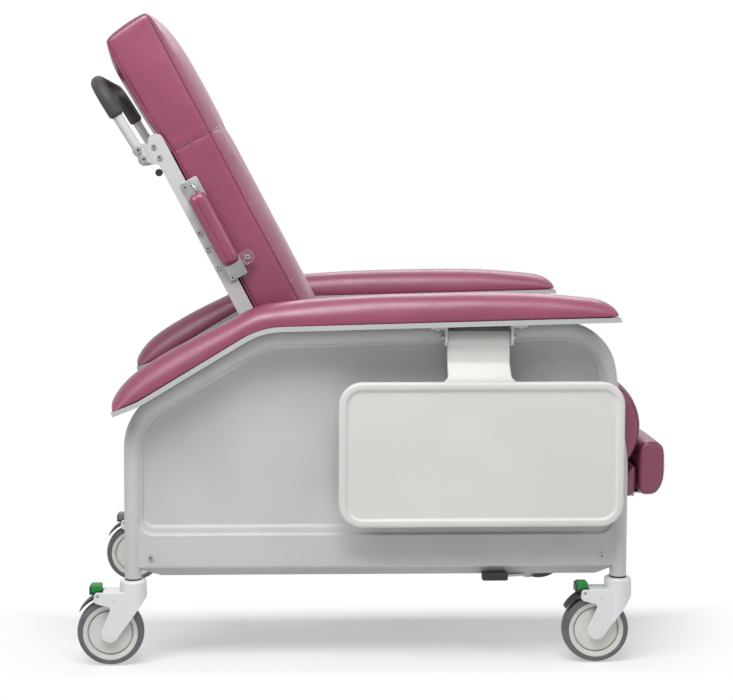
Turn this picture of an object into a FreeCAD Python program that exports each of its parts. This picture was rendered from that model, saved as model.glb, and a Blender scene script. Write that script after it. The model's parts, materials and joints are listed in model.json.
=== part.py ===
"""Medical recliner on braked casters, in millimetres.

X points to the front, Y to the sitter's left, Z up.  The origin is on the floor,
in the middle of the overall length and width.  The right side (Y below zero) has the tray.
"""
import FreeCAD
import Part
import math
import os

V = FreeCAD.Vector
ALONG_X = V(1, 0, 0)
ALONG_Y = V(0, 1, 0)
ALONG_Z = V(0, 0, 1)

# Fits and gaps
RUN_GAP = 0.05
SEAT_GAP = 0.3
PLATE_GAP = 2.0
CUT_OVER = 1.0

# Casters
WHEEL_D = 127.0
WHEEL_W = 32.0
TYRE_DEPTH = 11.5
TYRE_BEVEL = 1.0
TYRE_SHOULDER = 3.0
HUB_BOSS_R = 14.0
HUB_BOSS_PROUD = 1.5
HUB_WEB_DIP = 4.0
HUB_GROOVE = (11.0, 9.0)
HUB_GROOVE_DEPTH = 5.0
HUB_LIP = (3.0, 1.5)
AXLE_R = 5.0
AXLE_HEAD_R = 8.0
AXLE_HEAD_H = 1.0
CASTER_TRAIL = 43.0
FORK_WALL = 4.5
FORK_SIDE_GAP = 2.5
FORK_EYE_R = 16.5
FORK_FRONT_H = 10.0
FORK_NOTCH = (40.5, 20.0)
FORK_NOSE_LOW = (74.5, 10.5)
FORK_NOSE_HIGH = 71.5
FORK_ROUNDS = (7.0, 6.0, 8.0, 6.0)
FORK_EDGE_R = 1.2
FORK_SLOT_FRONT = 15.0
CROWN_GAP = 6.0
CROWN_T = 9.0
CROWN_FRONT = 26.0
CROWN_REAR = 56.0
CUP_R = 25.5
CUP_H = 21.0
STEM_R = 6.0
STEM_FLANGE_H = 3.0
STEM_PLUG_H = 40.0
PEDAL_PIVOT_BACK = 23.0
PEDAL_LUG_R = 7.0
PEDAL_PIN_R = 3.0
PEDAL_GAP = 6.5
PEDAL_T = 7.0
PEDAL_TIP_T = 2.0
PEDAL_SWEEP = (15.0, 55.0)
PEDAL_HALF_W = 13.0
PEDAL_PAD_L = 23.0
PEDAL_PAD_H = 16.5
PEDAL_PAD_ROUND = 3.0

# Side frames: bent tubes with a sloping rear run under the arms
TUBE_R = 15.875
TUBE_WALL = 2.0
FRAME_HALF_WIDTH = 318.0
REAR_POLE_X = -460.0
FRONT_POLE_X = 463.0
SHOULDER_H = 306.0
KNEE_X = -211.0
KNEE_H = 456.4
BROW_BACK = 36.2
BROW_H = 472.6
LEAN_H = 220.0
ARCH_RADII = (100.0, 120.0, 90.0, 300.0)
RAIL_H = 40.0
RAIL_W = 24.7
RAIL_DROP = 3.0
RAIL_WALL = 2.0
RAIL_REAR_CHAMFER = 53.0
RAIL_FRONT_CHAMFER = 42.0
RAIL_CHAMFER_H = 16.0
BASE_BAR_INSET = (130.0, 133.0)
BASE_BAR_W = 30.0
BASE_BAR_H = 28.0

# Side panels
PANEL_PROUD = 12.0
PANEL_T = 16.0
PANEL_POCKET = 12.0
SKIRT_RISE = 18.5
POCKET_LOW_H = 73.0
POCKET_SLOPE_H = 26.0
POCKET_EDGE = 8.0
POCKET_SIDE = 10.0
POCKET_CORNER_R = 23.0
SKIRT_SCREW_INSET = 34.0
SKIRT_SCREW_RISE = 21.5

# Arms
ARM_INBOARD = 26.0
ARM_OUTBOARD = 62.0
ARM_PLATE_T = 9.0
ARM_SLOPE_RUN = 268.0
ARM_TIP_RUN = 50.0
ARM_TIP_TURN = 10.0
ARM_FRONT_RUN = 667.0
ARM_TAIL_R = 150.0
ARM_REAR_CROWN = ((-314.0, 21.0), (-282.0, 37.0), (-236.0, 47.0), (-150.0, 48.5), (-56.0, 42.0))
ARM_FRONT_CROWN = ((44.0, 40.0), (220.0, 47.5), (400.0, 47.0), (520.0, 42.0), (622.0, 30.0),
                   (650.0, 20.0), (664.0, 7.0))
ARM_KNEE_CROWN = 38.0
ARM_PAD_SECTIONS = ((-1.0, 0.50), (-0.86, 0.80), (-0.55, 0.96), (0.0, 1.0),
                    (0.55, 0.96), (0.86, 0.80), (1.0, 0.50))

# Seat, with a rolled front edge round the leg rest's pivot
LEG_PIVOT_BACK = 50.0
LEG_PIVOT_H = 270.0
ROLL_R = 98.0
ROLL_CROWN = 8.0
ROLL_ANGLES = (95.0, 48.0, 0.0, -38.0, -75.0)
SEAT_REAR_AHEAD = 88.8
SEAT_REAR_H = 331.0
SEAT_REAR_CROWN = 8.0
SEAT_BOARD_H = 219.3
SEAT_BOARD_T = 12.0
SEAT_BOARD_FRONT = 68.0
SEAT_BOARD_INSET = 7.0
SEAT_BAR_H = 25.0
SEAT_BAR_W = 40.0
SEAT_BAR_REAR = 20.0
REAR_POST_AHEAD = 38.8
FRONT_POST_BACK = 113.0
POST_SIDE = 25.0
POST_INSET = 6.0
EAR_T = 7.0

# Back
BACK_PIVOT_X = -138.8
BACK_PIVOT_H = 298.3
BACK_LEAN = 27.8
BACK_ARM_GAP = 47.0
BACK_LENGTH = 825.0
HEAD_LENGTH = 260.0
BACK_START = 10.0
BACK_THICKNESS = 85.5
HEAD_SWELL = 12.0
HEAD_REAR_STEP = 7.0
BACK_CROWN = 23.0
SEAM_CROWN = 16.0
HEAD_TOP_CROWN = 9.0
EDGE_CROWN = 1.5
SIDE_PINCH = 4.0
SEAM_BAND = 5.0
BAR_HALF_W = 15.0
BAR_T = 6.0
BOARD_T = 11.7
PIVOT_BOLT_R = 8.0
SHOULDER_R = 12.0

# Push handle
HANDLE_R = 9.5
HANDLE_WALL = 1.8
HANDLE_BACKSET = 36.0
HANDLE_EXTRA_LEAN = 4.0
HANDLE_ABOVE_BOLT = 151.0
HANDLE_BELOW_BOLT = 30.0
HANDLE_BOLT_PITCH = 20.0
HANDLE_BEND_R = 55.0
GRIP_T = 4.9
GRIP_START = 75.0
BOLT_R = 4.0
BOLT_HEAD_R = 6.4
SCREW_R = 2.5
SCREW_HEAD_R = 5.0
SCREW_HEAD_H = 2.5
BAR_SCREW_BELOW = (237.0, 196.0, 162.0, 0.0, -23.0)
BAR_SCREW_T = -8.0
EAR_STEP = 10.0
EAR_ROUND = 3.0
STOP_R = 7.0
STOP_BELOW = 25.0

# Side bolsters
BOLSTER_BELOW = 168.0
BOLSTER_PLATE_L = 210.0
BOLSTER_PLATE_T = (2.0, 38.0)
BOLSTER_TAB_BELOW = (259.0, 231.0)
BOLSTER_TAB_T = 64.0
BOLSTER_PLATE_THICK = 4.0
BOLSTER_SCREW_END = (10.0, 6.0)
BOLSTER_SCREW_T = 8.0
BOLSTER_SCREW_TAB = 12.0
BOLSTER_PAD_L = 152.0
BOLSTER_PAD_W = 37.0
BOLSTER_ARM_GAP = 5.4
BOLSTER_CORNER_R = 13.0
BOLSTER_SECTIONS = ((0.0, 3.0), (0.2, 0.0), (0.65, 0.0), (0.9, 4.0), (1.0, 10.0))

# Leg rest and folding foot pad
ROLL_GAP = 12.0
CALF_SIDE_GAP = 19.0
CALF_BOARD_T = 8.0
CALF_BOARD_X = 39.0
CALF_BOARD_DROP = (114.0, 174.0)
CALF_FRONT_X = 98.0
CALF_BOTTOM = 135.0
CALF_CROWN = 3.0
LEG_PLATE_T = 6.0
LEG_BOLT_R = 6.0
LEG_SHOULDER_R = 9.0
LEG_HEAD_R = 10.0
LEG_EYE_R = 16.0
FOOT_AXIS = (103.2, 139.0)
FOOT_REAR_X = 104.5
FOOT_THICKNESS = 40.5
FOOT_RISE = 6.0
FOOT_LENGTH = 101.0
FOOT_CROWN = 7.0
FOOT_END_CROWN = 5.0
FOOT_LEAF_SHORT = 4.0
KNUCKLE_R = 4.0
HINGE_PIN_R = 2.0
LEAF_T = 3.0
LEAF_CLEAR = 0.7
HINGE_INSET = 45.0
HINGE_STRETCHES = 5

# Link that makes the leg rest rise as the back goes down
BACK_SWING = 40.0
LEG_SWING = 80.0
BACK_LEVER = 56.4
LINK_T = 6.0
LINK_HALF_H = 13.0
LINK_PIN_R = 4.0
LINK_PIN_EYE_R = 8.8
LINK_PIN_END = 0.5
LINK_SLOT_GAP = 0.8

# Tray
TRAY_BEHIND_POLE = 3.0
TRAY_LENGTH = 533.0
TRAY_Z = (-353.0, -81.0)
TRAY_CORNER_R = 44.0
TRAY_T = 16.0
TRAY_RIM = 14.0
TRAY_RECESS = 4.0
TRAY_BACK_RIM = 6.0
TRAY_BACK_RECESS = 7.0
NECK_W = 117.0
NECK_OFFSET = 5.0
NECK_T = 8.0
NECK_JOG = (-50.0, -80.0)
NECK_TOP = 12.0
TRAY_PIN_R = 4.0
TRAY_PIN_HEAD_R = 6.0
TRAY_KNUCKLE_R = 8.0
TRAY_AXIS_IN = 28.0
TRAY_AXIS_DROP = 23.0
BRACKET_T = 5.0
BRACKET_FLANGE = 26.0
BRACKET_HALF_W = 15.0

# Release lever under the right rail
LEVER_BEHIND_POLE = 171.0
LEVER_T = 4.4
LEVER_R = 12.0
LEVER_GRIP_BACK = (90.0, 41.0)
LEVER_GRIP_H = 15.0
LEVER_GRIP_W = 20.0

# Worked-out levels
AXLE_Z = WHEEL_D / 2
WHEEL_R = WHEEL_D / 2
CROWN_Z = WHEEL_D + CROWN_GAP
FORK_TOP_Z = CROWN_Z + CROWN_T
CUP_TOP_Z = FORK_TOP_Z + CUP_H
POLE_END_Z = CUP_TOP_Z + STEM_FLANGE_H
SKIRT_Z = POLE_END_Z + SKIRT_RISE
BASE_BAR_X = (REAR_POLE_X + BASE_BAR_INSET[0], FRONT_POLE_X - BASE_BAR_INSET[1])
RAIL_Z = POLE_END_Z + RAIL_DROP
PANEL_FACE = FRAME_HALF_WIDTH + PANEL_PROUD
PANEL_BACK = PANEL_FACE - PANEL_T
RAIL_OUT = PANEL_BACK - SEAT_GAP
RAIL_IN = RAIL_OUT - RAIL_W
ARM_IN = FRAME_HALF_WIDTH - ARM_INBOARD
ARM_OUT = FRAME_HALF_WIDTH + ARM_OUTBOARD
ARM_MID = (ARM_IN + ARM_OUT) / 2
POST_OUT = FRAME_HALF_WIDTH - POST_INSET
POST_IN = POST_OUT - POST_SIDE
EAR_IN = POST_IN - EAR_T
LINK_OUT = EAR_IN - PLATE_GAP
LINK_IN = LINK_OUT - LINK_T
LEG_PLATE_OUT = LINK_IN - PLATE_GAP
LEG_PLATE_IN = LEG_PLATE_OUT - LEG_PLATE_T
SEAT_HALF_WIDTH = LEG_PLATE_IN - PLATE_GAP
SEAT_BOARD_HALF = SEAT_HALF_WIDTH - SEAT_BOARD_INSET
CALF_HALF_WIDTH = LEG_PLATE_IN - CALF_SIDE_GAP
HINGE_HALF = CALF_HALF_WIDTH - HINGE_INSET
HINGE_CUTS = [HINGE_HALF * (2 * i / HINGE_STRETCHES - 1) for i in range(HINGE_STRETCHES + 1)]
BACK_HALF_WIDTH = ARM_IN - BACK_ARM_GAP
SEAT_REAR_X = BACK_PIVOT_X + SEAT_REAR_AHEAD
SEAT_BOARD_Z = POLE_END_Z + SEAT_BOARD_H
SEAT_BAR_Z = SEAT_BOARD_Z - SEAT_GAP - SEAT_BAR_H
LEG_PIVOT = V(FRONT_POLE_X - LEG_PIVOT_BACK, 0, POLE_END_Z + LEG_PIVOT_H)
POST_X = (BACK_PIVOT_X + REAR_POST_AHEAD, LEG_PIVOT.x - FRONT_POST_BACK)
SEAT_BAR_X = (SEAT_REAR_X + SEAT_BAR_REAR, POST_X[1])
BACK_PIVOT = V(BACK_PIVOT_X, 0, POLE_END_Z + BACK_PIVOT_H)
LEAN = math.radians(BACK_LEAN)
BACK_UP = V(-math.sin(LEAN), 0, math.cos(LEAN))
BACK_FORE = V(math.cos(LEAN), 0, math.sin(LEAN))
REAR_T = BAR_HALF_W
FRONT_T = BAR_HALF_W + BACK_THICKNESS
SEAM_S = BACK_LENGTH - HEAD_LENGTH
BAR_IN = BACK_HALF_WIDTH + PLATE_GAP
BAR_OUT = BAR_IN + BAR_T
BAR_SCREW_S = [SEAM_S - below for below in BAR_SCREW_BELOW]
BOLSTER_S = SEAM_S - BOLSTER_BELOW
BOLSTER_TAB_S = [SEAM_S - below for below in BOLSTER_TAB_BELOW]
BOLSTER_BASE = BAR_OUT + 2 * SEAT_GAP + BOLSTER_PLATE_THICK
BOLSTER_PAD_H = ARM_IN - BOLSTER_ARM_GAP - BOLSTER_BASE
HALF_BACK_SWING = math.radians(BACK_SWING / 2)
HALF_LEG_SWING = math.radians(LEG_SWING / 2)
LEG_LEVER = BACK_LEVER * math.sin(HALF_BACK_SWING) / math.sin(HALF_LEG_SWING)
TRAY_Y = -ARM_OUT
TRAY_X = (FRONT_POLE_X - TRAY_BEHIND_POLE - TRAY_LENGTH, FRONT_POLE_X - TRAY_BEHIND_POLE)
NECK_MIDDLE = sum(TRAY_X) / 2 - NECK_OFFSET
NECK_X = (NECK_MIDDLE - NECK_W / 2, NECK_MIDDLE + NECK_W / 2)
LEVER_X = FRONT_POLE_X - LEVER_BEHIND_POLE
LEVER_GRIP_X = [LEVER_X - back for back in LEVER_GRIP_BACK]
CROWN_STATIONS = (-1.0, -0.8, -0.45, 0.0, 0.45, 0.8, 1.0)


def at(point, y):
    """The XZ point moved to the given Y."""
    return V(point.x, y, point.z)


def box(low, high):
    """A block between two corners."""
    size = V(*high) - V(*low)
    return Part.makeBox(size.x, size.y, size.z, V(*low))


def disc(point, radius, y_low, y_high):
    """A round bar along Y."""
    return Part.makeCylinder(radius, y_high - y_low, at(point, y_low), ALONG_Y)


def slab(points, y_low, y_high):
    """A flat plate with an XZ outline."""
    outline = Part.makePolygon([at(p, y_low) for p in points + points[:1]])
    return Part.Face(outline).extrude(V(0, y_high - y_low, 0))


def plate_between(a, radius_a, b, radius_b, y_low, y_high):
    """A flat bar with a round eye at each end."""
    run = (b - a).normalize()
    side = V(-run.z, 0, run.x)
    outline = [a + side * radius_a, b + side * radius_b, b - side * radius_b, a - side * radius_a]
    bar = slab(outline, y_low, y_high)
    return bar.fuse([disc(a, radius_a, y_low, y_high), disc(b, radius_b, y_low, y_high)])


def clean(shape):
    """One solid without leftover seams between fused pieces."""
    return shape.removeSplitter()


def mirrored(shape):
    """The same piece on the other side of the chair."""
    return shape.mirror(V(0, 0, 0), ALONG_Y)


def line(a, b):
    return Part.LineSegment(a, b).toShape()


def arc(a, middle, b):
    return Part.Arc(a, middle, b).toShape()


def rounded_edges(points, radii):
    """Straight runs joined by tangent arcs at the inner points."""
    edges = []
    start = points[0]
    for before, corner, after, radius in zip(points, points[1:], points[2:], radii):
        inward = (before - corner).normalize()
        outward = (after - corner).normalize()
        half = inward.getAngle(outward) / 2
        first = corner + inward * (radius / math.tan(half))
        last = corner + outward * (radius / math.tan(half))
        middle = corner + (inward + outward).normalize() * (radius / math.sin(half) - radius)
        edges.append(line(start, first))
        edges.append(arc(first, middle, last))
        start = last
    edges.append(line(start, points[-1]))
    return edges


def rod(points, radii, radius):
    """A round bar along a path of straight runs and bends."""
    path = Part.Wire(rounded_edges(points, radii))
    circle = Part.Circle(points[0], points[1] - points[0], radius)
    return path.makePipeShell([Part.Wire([circle.toShape()])], True, False)


def offset_line(points, distance):
    """The XZ line moved sideways, to the left of its direction."""
    normals = []
    for a, b in zip(points, points[1:]):
        run = (b - a).normalize()
        normals.append(V(-run.z, 0, run.x))
    moved = [points[0] + normals[0] * distance]
    for corner, first, second in zip(points[1:], normals, normals[1:]):
        middle = (first + second).normalize()
        moved.append(corner + middle * (distance / middle.dot(first)))
    moved.append(points[-1] + normals[-1] * distance)
    return moved


def hole(point, radius, y_low, y_high):
    """A running-fit bore along Y, cut past both faces."""
    return disc(point, radius + RUN_GAP, y_low - CUT_OVER, y_high + CUT_OVER)


def screw(point, direction, head_r, head_h, shank_r, shank_l):
    """A headed fastener whose head stands on the point, with its shank against the direction."""
    head = Part.makeCylinder(head_r, head_h, point, direction)
    shank = Part.makeCylinder(shank_r, shank_l, point, direction * -1)
    return clean(head.fuse(shank))


def screw_hole(point, direction, shank_r, shank_l):
    """The hole that takes a screw's shank."""
    start = point + direction * CUT_OVER
    return Part.makeCylinder(shank_r + RUN_GAP, shank_l + 2 * CUT_OVER, start, direction * -1)


# Casters


def caster_point(stem_x, x, z):
    return V(stem_x + x, 0, z)


def touching(point, centre, radius, side):
    """Direction of the line from a point that touches a circle on one side."""
    run = centre - point
    turn = side * math.asin(radius / run.Length)
    run.normalize()
    return V(run.x * math.cos(turn) - run.z * math.sin(turn), 0,
             run.x * math.sin(turn) + run.z * math.cos(turn))


def meeting(a, run_a, b, run_b):
    """The point where two XZ lines meet."""
    gap = b - a
    share = (gap.x * run_b.z - gap.z * run_b.x) / (run_a.x * run_b.z - run_a.z * run_b.x)
    return a + run_a * share


def fork_side(stem_x, y):
    """Side outline of the fork: front edge, eye, notch and the nose that holds the pedal."""
    eye = caster_point(stem_x, -CASTER_TRAIL, AXLE_Z)
    middle = caster_point(stem_x, -CASTER_TRAIL / 2, FORK_TOP_Z)
    front_high = caster_point(stem_x, CROWN_FRONT, FORK_TOP_Z)
    front_low = caster_point(stem_x, CROWN_FRONT, FORK_TOP_Z - FORK_FRONT_H)
    notch = caster_point(stem_x, -FORK_NOTCH[0], CROWN_Z - FORK_NOTCH[1])
    toe = meeting(front_low, touching(front_low, eye, FORK_EYE_R, 1),
                  notch, touching(notch, eye, FORK_EYE_R, -1))
    nose_low = caster_point(stem_x, -FORK_NOSE_LOW[0], CROWN_Z - FORK_NOSE_LOW[1])
    nose_high = caster_point(stem_x, -FORK_NOSE_HIGH, FORK_TOP_Z)
    points = [middle, front_high, front_low, toe, notch, nose_low, nose_high, middle]
    front_round, notch_round, low_round, high_round = FORK_ROUNDS
    radii = (CUT_OVER, front_round, FORK_EYE_R, notch_round, low_round, high_round)
    return Part.Wire(rounded_edges([at(p, y) for p in points], radii))


def fork(stem_x, y):
    """Swivel fork with its bearing cup, round front, nose plates and pedal pin."""
    eye = caster_point(stem_x, -CASTER_TRAIL, AXLE_Z)
    pivot = pedal_pivot(stem_x)
    inner = WHEEL_W / 2 + FORK_SIDE_GAP
    outer = inner + FORK_WALL
    reach = 2 * WHEEL_D
    plan = box((stem_x - reach, y - outer, 0), (stem_x, y + outer, reach))
    plan = plan.fuse(Part.makeCylinder(CROWN_FRONT, reach, V(stem_x, y, 0), ALONG_Z))
    block = Part.Face(fork_side(stem_x, y - CROWN_FRONT)).extrude(V(0, 2 * CROWN_FRONT, 0))
    slot = box((stem_x - reach, y - inner, 0), (stem_x + FORK_SLOT_FRONT, y + inner, CROWN_Z))
    mouth = box((stem_x - reach, y - inner, 0), (stem_x - CROWN_REAR, y + inner, reach))
    body = clean(block.common(plan).cut([slot, mouth]))
    rims = [e for e in body.Edges if e.BoundBox.YLength < RUN_GAP
            and abs(abs(e.BoundBox.YMin - y) - outer) < RUN_GAP and e.BoundBox.XMin < stem_x - FORK_NOTCH[0]]
    body = body.makeFillet(FORK_EDGE_R, rims)
    cup = Part.makeCylinder(CUP_R, CUP_H, V(stem_x, y, FORK_TOP_Z), ALONG_Z)
    cup = cup.makeFillet(CUP_H / 4, [e for e in cup.Edges if e.BoundBox.ZMin > CUP_TOP_Z - CUP_H / 2])
    body = body.fuse([cup, disc(pivot, PEDAL_PIN_R, y - outer, y + outer)])
    bore = Part.makeCylinder(STEM_R + RUN_GAP, CUP_H + CUT_OVER, V(stem_x, y, FORK_TOP_Z), ALONG_Z)
    body = body.cut([bore, hole(eye, AXLE_R, y - outer, y + outer)])
    return clean(body)


def axle(stem_x, y):
    """Wheel bolt with a low head at each end."""
    eye = caster_point(stem_x, -CASTER_TRAIL, AXLE_Z)
    outer = WHEEL_W / 2 + FORK_SIDE_GAP + FORK_WALL
    shank = disc(eye, AXLE_R, y - outer, y + outer)
    heads = [disc(eye, AXLE_HEAD_R, y + outer, y + outer + AXLE_HEAD_H),
             disc(eye, AXLE_HEAD_R, y - outer - AXLE_HEAD_H, y - outer)]
    return clean(shank.fuse(heads))


def turned(profile, stem_x, y):
    """A wheel piece turned about the axle from (radius, width) points and arcs."""
    eye = V(stem_x - CASTER_TRAIL, y, AXLE_Z)
    face = Part.Face(Part.Wire(profile(eye)))
    return face.revolve(eye, ALONG_Y, 360)


def hub_profile(eye):
    rim = WHEEL_R - TYRE_DEPTH - RUN_GAP
    half = WHEEL_W / 2
    web = half - HUB_WEB_DIP
    groove = web - HUB_GROOVE_DEPTH
    inner, outer = (rim - back for back in HUB_GROOVE)
    side = [(AXLE_R + RUN_GAP, half + HUB_BOSS_PROUD), (HUB_BOSS_R, half + HUB_BOSS_PROUD),
            (HUB_BOSS_R + HUB_BOSS_PROUD, web), (inner - CUT_OVER, web), (inner, groove), (outer, groove),
            (outer + CUT_OVER, half - HUB_LIP[0]), (rim, half - HUB_LIP[1])]
    loop = side + [(r, -w) for r, w in reversed(side)]
    points = [eye + V(0, w, r) for r, w in loop]
    return [line(a, b) for a, b in zip(points, points[1:] + points[:1])]


def tyre_profile(eye):
    inner = WHEEL_R - TYRE_DEPTH
    half = WHEEL_W / 2
    low = [eye + V(0, TYRE_BEVEL - half, inner), eye + V(0, -half, inner + 2 * TYRE_BEVEL),
           eye + V(0, TYRE_BEVEL - half, WHEEL_R - TYRE_SHOULDER)]
    high = [V(p.x, 2 * eye.y - p.y, p.z) for p in reversed(low)]
    runs = [line(low[0], low[1]), line(low[1], low[2])]
    tread = arc(low[2], eye + V(0, 0, WHEEL_R), high[0])
    return runs + [tread, line(high[0], high[1]), line(high[1], high[2]), line(high[2], low[0])]


def pedal_pivot(stem_x):
    ring = WHEEL_R + PEDAL_GAP + PEDAL_LUG_R - CUT_OVER
    drop = math.sqrt(ring ** 2 - PEDAL_PIVOT_BACK ** 2)
    return caster_point(stem_x, -CASTER_TRAIL - PEDAL_PIVOT_BACK, AXLE_Z + drop)


def brake_pedal(stem_x, y):
    """Brake lever curved round the tyre and thinner to its tip, with a foot pad over its pivot."""
    eye = V(stem_x - CASTER_TRAIL, y - PEDAL_HALF_W, AXLE_Z)
    pivot = pedal_pivot(stem_x)
    inner = WHEEL_R + PEDAL_GAP
    reach = 2 * (inner + PEDAL_T)
    low, high = (math.radians(a) for a in PEDAL_SWEEP)
    square = high - math.pi / 2
    lead = (PEDAL_T - PEDAL_TIP_T) / math.cos(low - square)
    back = eye + V(-math.sin(square), 0, math.cos(square)) * lead
    ring = Part.makeCylinder(inner + PEDAL_TIP_T, 2 * PEDAL_HALF_W, back, ALONG_Y)
    ring = ring.cut(Part.makeCylinder(inner, 2 * PEDAL_HALF_W, eye, ALONG_Y))
    fan = [eye] + [eye + V(-math.sin(a), 0, math.cos(a)) * reach for a in (low, high)]
    wedge = slab(fan, y - PEDAL_HALF_W, y + PEDAL_HALF_W)
    pad_x = pivot.x + PEDAL_LUG_R - SEAT_GAP
    pad_half_w = PEDAL_HALF_W - PEDAL_PAD_ROUND / 2
    pad = box((pad_x - PEDAL_PAD_L, y - pad_half_w, pivot.z),
              (pad_x, y + pad_half_w, pivot.z + PEDAL_PAD_H))
    upper = [e for e in pad.Edges if e.BoundBox.ZMin > pivot.z + PEDAL_PAD_H / 2]
    pad = pad.makeFillet(PEDAL_PAD_ROUND, upper)
    boss = disc(pivot, PEDAL_LUG_R - SEAT_GAP, y - PEDAL_HALF_W, y + PEDAL_HALF_W)
    body = ring.common(wedge).fuse([pad, boss])
    return clean(body.cut(hole(pivot, PEDAL_PIN_R, y - PEDAL_HALF_W, y + PEDAL_HALF_W)))


def caster_stem(stem_x, y):
    """Plug in the pole's end, with a flange and the swivel pin."""
    plug_r = TUBE_R - TUBE_WALL - RUN_GAP
    flange_z = CUP_TOP_Z + SEAT_GAP
    pin_z = FORK_TOP_Z + PLATE_GAP
    plug = Part.makeCylinder(plug_r, STEM_PLUG_H, V(stem_x, y, POLE_END_Z), ALONG_Z)
    flange = Part.makeCylinder(TUBE_R, POLE_END_Z - flange_z, V(stem_x, y, flange_z), ALONG_Z)
    pin = Part.makeCylinder(STEM_R, POLE_END_Z - pin_z, V(stem_x, y, pin_z), ALONG_Z)
    return clean(plug.fuse([flange, pin]))


# Side frames


def arch_points(foot_z):
    """The side tube's centre line from the rear pole's foot to the front pole's foot."""
    return [V(REAR_POLE_X, 0, foot_z), V(REAR_POLE_X, 0, POLE_END_Z + SHOULDER_H),
            V(KNEE_X, 0, POLE_END_Z + KNEE_H), V(FRONT_POLE_X - BROW_BACK, 0, POLE_END_Z + BROW_H),
            V(FRONT_POLE_X, 0, POLE_END_Z + LEAN_H), V(FRONT_POLE_X, 0, foot_z)]


def arch_z(x):
    """Height of the centre line on the top run."""
    rise = (BROW_H - KNEE_H) / (FRONT_POLE_X - BROW_BACK - KNEE_X)
    return POLE_END_Z + KNEE_H + (x - KNEE_X) * rise


def arch_rod(radius):
    return rod([at(p, FRAME_HALF_WIDTH) for p in arch_points(POLE_END_Z)], ARCH_RADII, radius)


def side_frame():
    return arch_rod(TUBE_R).cut(arch_rod(TUBE_R - TUBE_WALL))


def lower_rail():
    """Rail between the poles, with its lower corners cut back and a bolt hole for the lever."""
    top = RAIL_Z + RAIL_H
    outline = [V(REAR_POLE_X, 0, top), V(FRONT_POLE_X, 0, top),
               V(FRONT_POLE_X, 0, RAIL_Z + RAIL_CHAMFER_H),
               V(FRONT_POLE_X - RAIL_FRONT_CHAMFER, 0, RAIL_Z),
               V(REAR_POLE_X + RAIL_REAR_CHAMFER, 0, RAIL_Z), V(REAR_POLE_X, 0, RAIL_Z + RAIL_CHAMFER_H)]
    rail = slab(outline, RAIL_IN, RAIL_OUT)
    hollow = box((REAR_POLE_X, RAIL_IN + RAIL_WALL, RAIL_Z + RAIL_CHAMFER_H),
                 (FRONT_POLE_X, RAIL_OUT - RAIL_WALL, top - RAIL_WALL))
    poles = [Part.makeCylinder(TUBE_R + SEAT_GAP / 3, RAIL_H + 2 * CUT_OVER,
                               V(x, FRAME_HALF_WIDTH, RAIL_Z - CUT_OVER), ALONG_Z)
             for x in (REAR_POLE_X, FRONT_POLE_X)]
    bolt = screw_hole(V(LEVER_X, lever_y(), RAIL_Z), V(0, 0, -1), BOLT_R, RAIL_CHAMFER_H)
    return rail.cut([hollow, bolt] + poles)


def pocket_loop(inset, low_z, y):
    """Closed outline inside the side tube, for the recess of the panel."""
    points = offset_line(arch_points(low_z), -inset)
    middle = (points[0] + points[-1]) / 2
    radii = [POCKET_CORNER_R] + [r - inset for r in ARCH_RADII] + [POCKET_CORNER_R]
    loop = [at(p, y) for p in [middle] + points + [middle]]
    return Part.Wire(rounded_edges(loop, radii))


def panel_screw_points():
    height = SKIRT_Z + SKIRT_SCREW_RISE
    ends = (REAR_POLE_X + SKIRT_SCREW_INSET, FRONT_POLE_X - SKIRT_SCREW_INSET)
    return [V(x, PANEL_FACE, height) for x in ends]


def side_panel():
    """Moulded panel that fills the side frame, with a recessed field above a flat skirt."""
    edges = rounded_edges([at(p, PANEL_BACK) for p in arch_points(SKIRT_Z)], ARCH_RADII)
    foot = line(V(FRONT_POLE_X, PANEL_BACK, SKIRT_Z), V(REAR_POLE_X, PANEL_BACK, SKIRT_Z))
    panel = Part.Face(Part.Wire(edges + [foot])).extrude(V(0, PANEL_T, 0))
    low_z = POLE_END_Z + POCKET_LOW_H
    pocket = Part.makeLoft([pocket_loop(POCKET_EDGE, low_z, PANEL_FACE),
                            pocket_loop(POCKET_EDGE + POCKET_SIDE, low_z + POCKET_SLOPE_H,
                                        PANEL_FACE - PANEL_POCKET)], True, True)
    holes = [screw_hole(p, ALONG_Y, SCREW_R, PANEL_POCKET) for p in panel_screw_points()]
    return panel.cut([arch_rod(TUBE_R + SEAT_GAP), pocket] + holes)


def base_bar(x):
    """Cross bar between the lower rails."""
    middle = RAIL_Z + RAIL_H / 2
    return box((x - BASE_BAR_W / 2, -RAIL_IN, middle - BASE_BAR_H / 2),
               (x + BASE_BAR_W / 2, RAIL_IN, middle + BASE_BAR_H / 2))


# Arms


def arm_directions():
    shoulder, knee, brow = arch_points(POLE_END_Z)[1:4]
    return (knee - shoulder).normalize(), (brow - knee).normalize()


def arm_knee(distance):
    """The corner of the arm's line, the given distance above the tube's centre line."""
    return offset_line(arch_points(POLE_END_Z), distance)[2]


def arm_line(distance):
    slope, top = arm_directions()
    turn = math.radians(-ARM_TIP_TURN)
    tip_run = V(slope.x * math.cos(turn) - slope.z * math.sin(turn), 0,
                slope.x * math.sin(turn) + slope.z * math.cos(turn))
    knee = arm_knee(distance)
    tail = knee - slope * ARM_SLOPE_RUN
    return [tail - tip_run * ARM_TIP_RUN, tail, knee, knee + top * ARM_FRONT_RUN]


def arm_edges(distance, y):
    points = [at(p, y) for p in arm_line(distance)]
    return rounded_edges(points, (ARM_TAIL_R - distance, ARCH_RADII[1] + distance))


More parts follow.
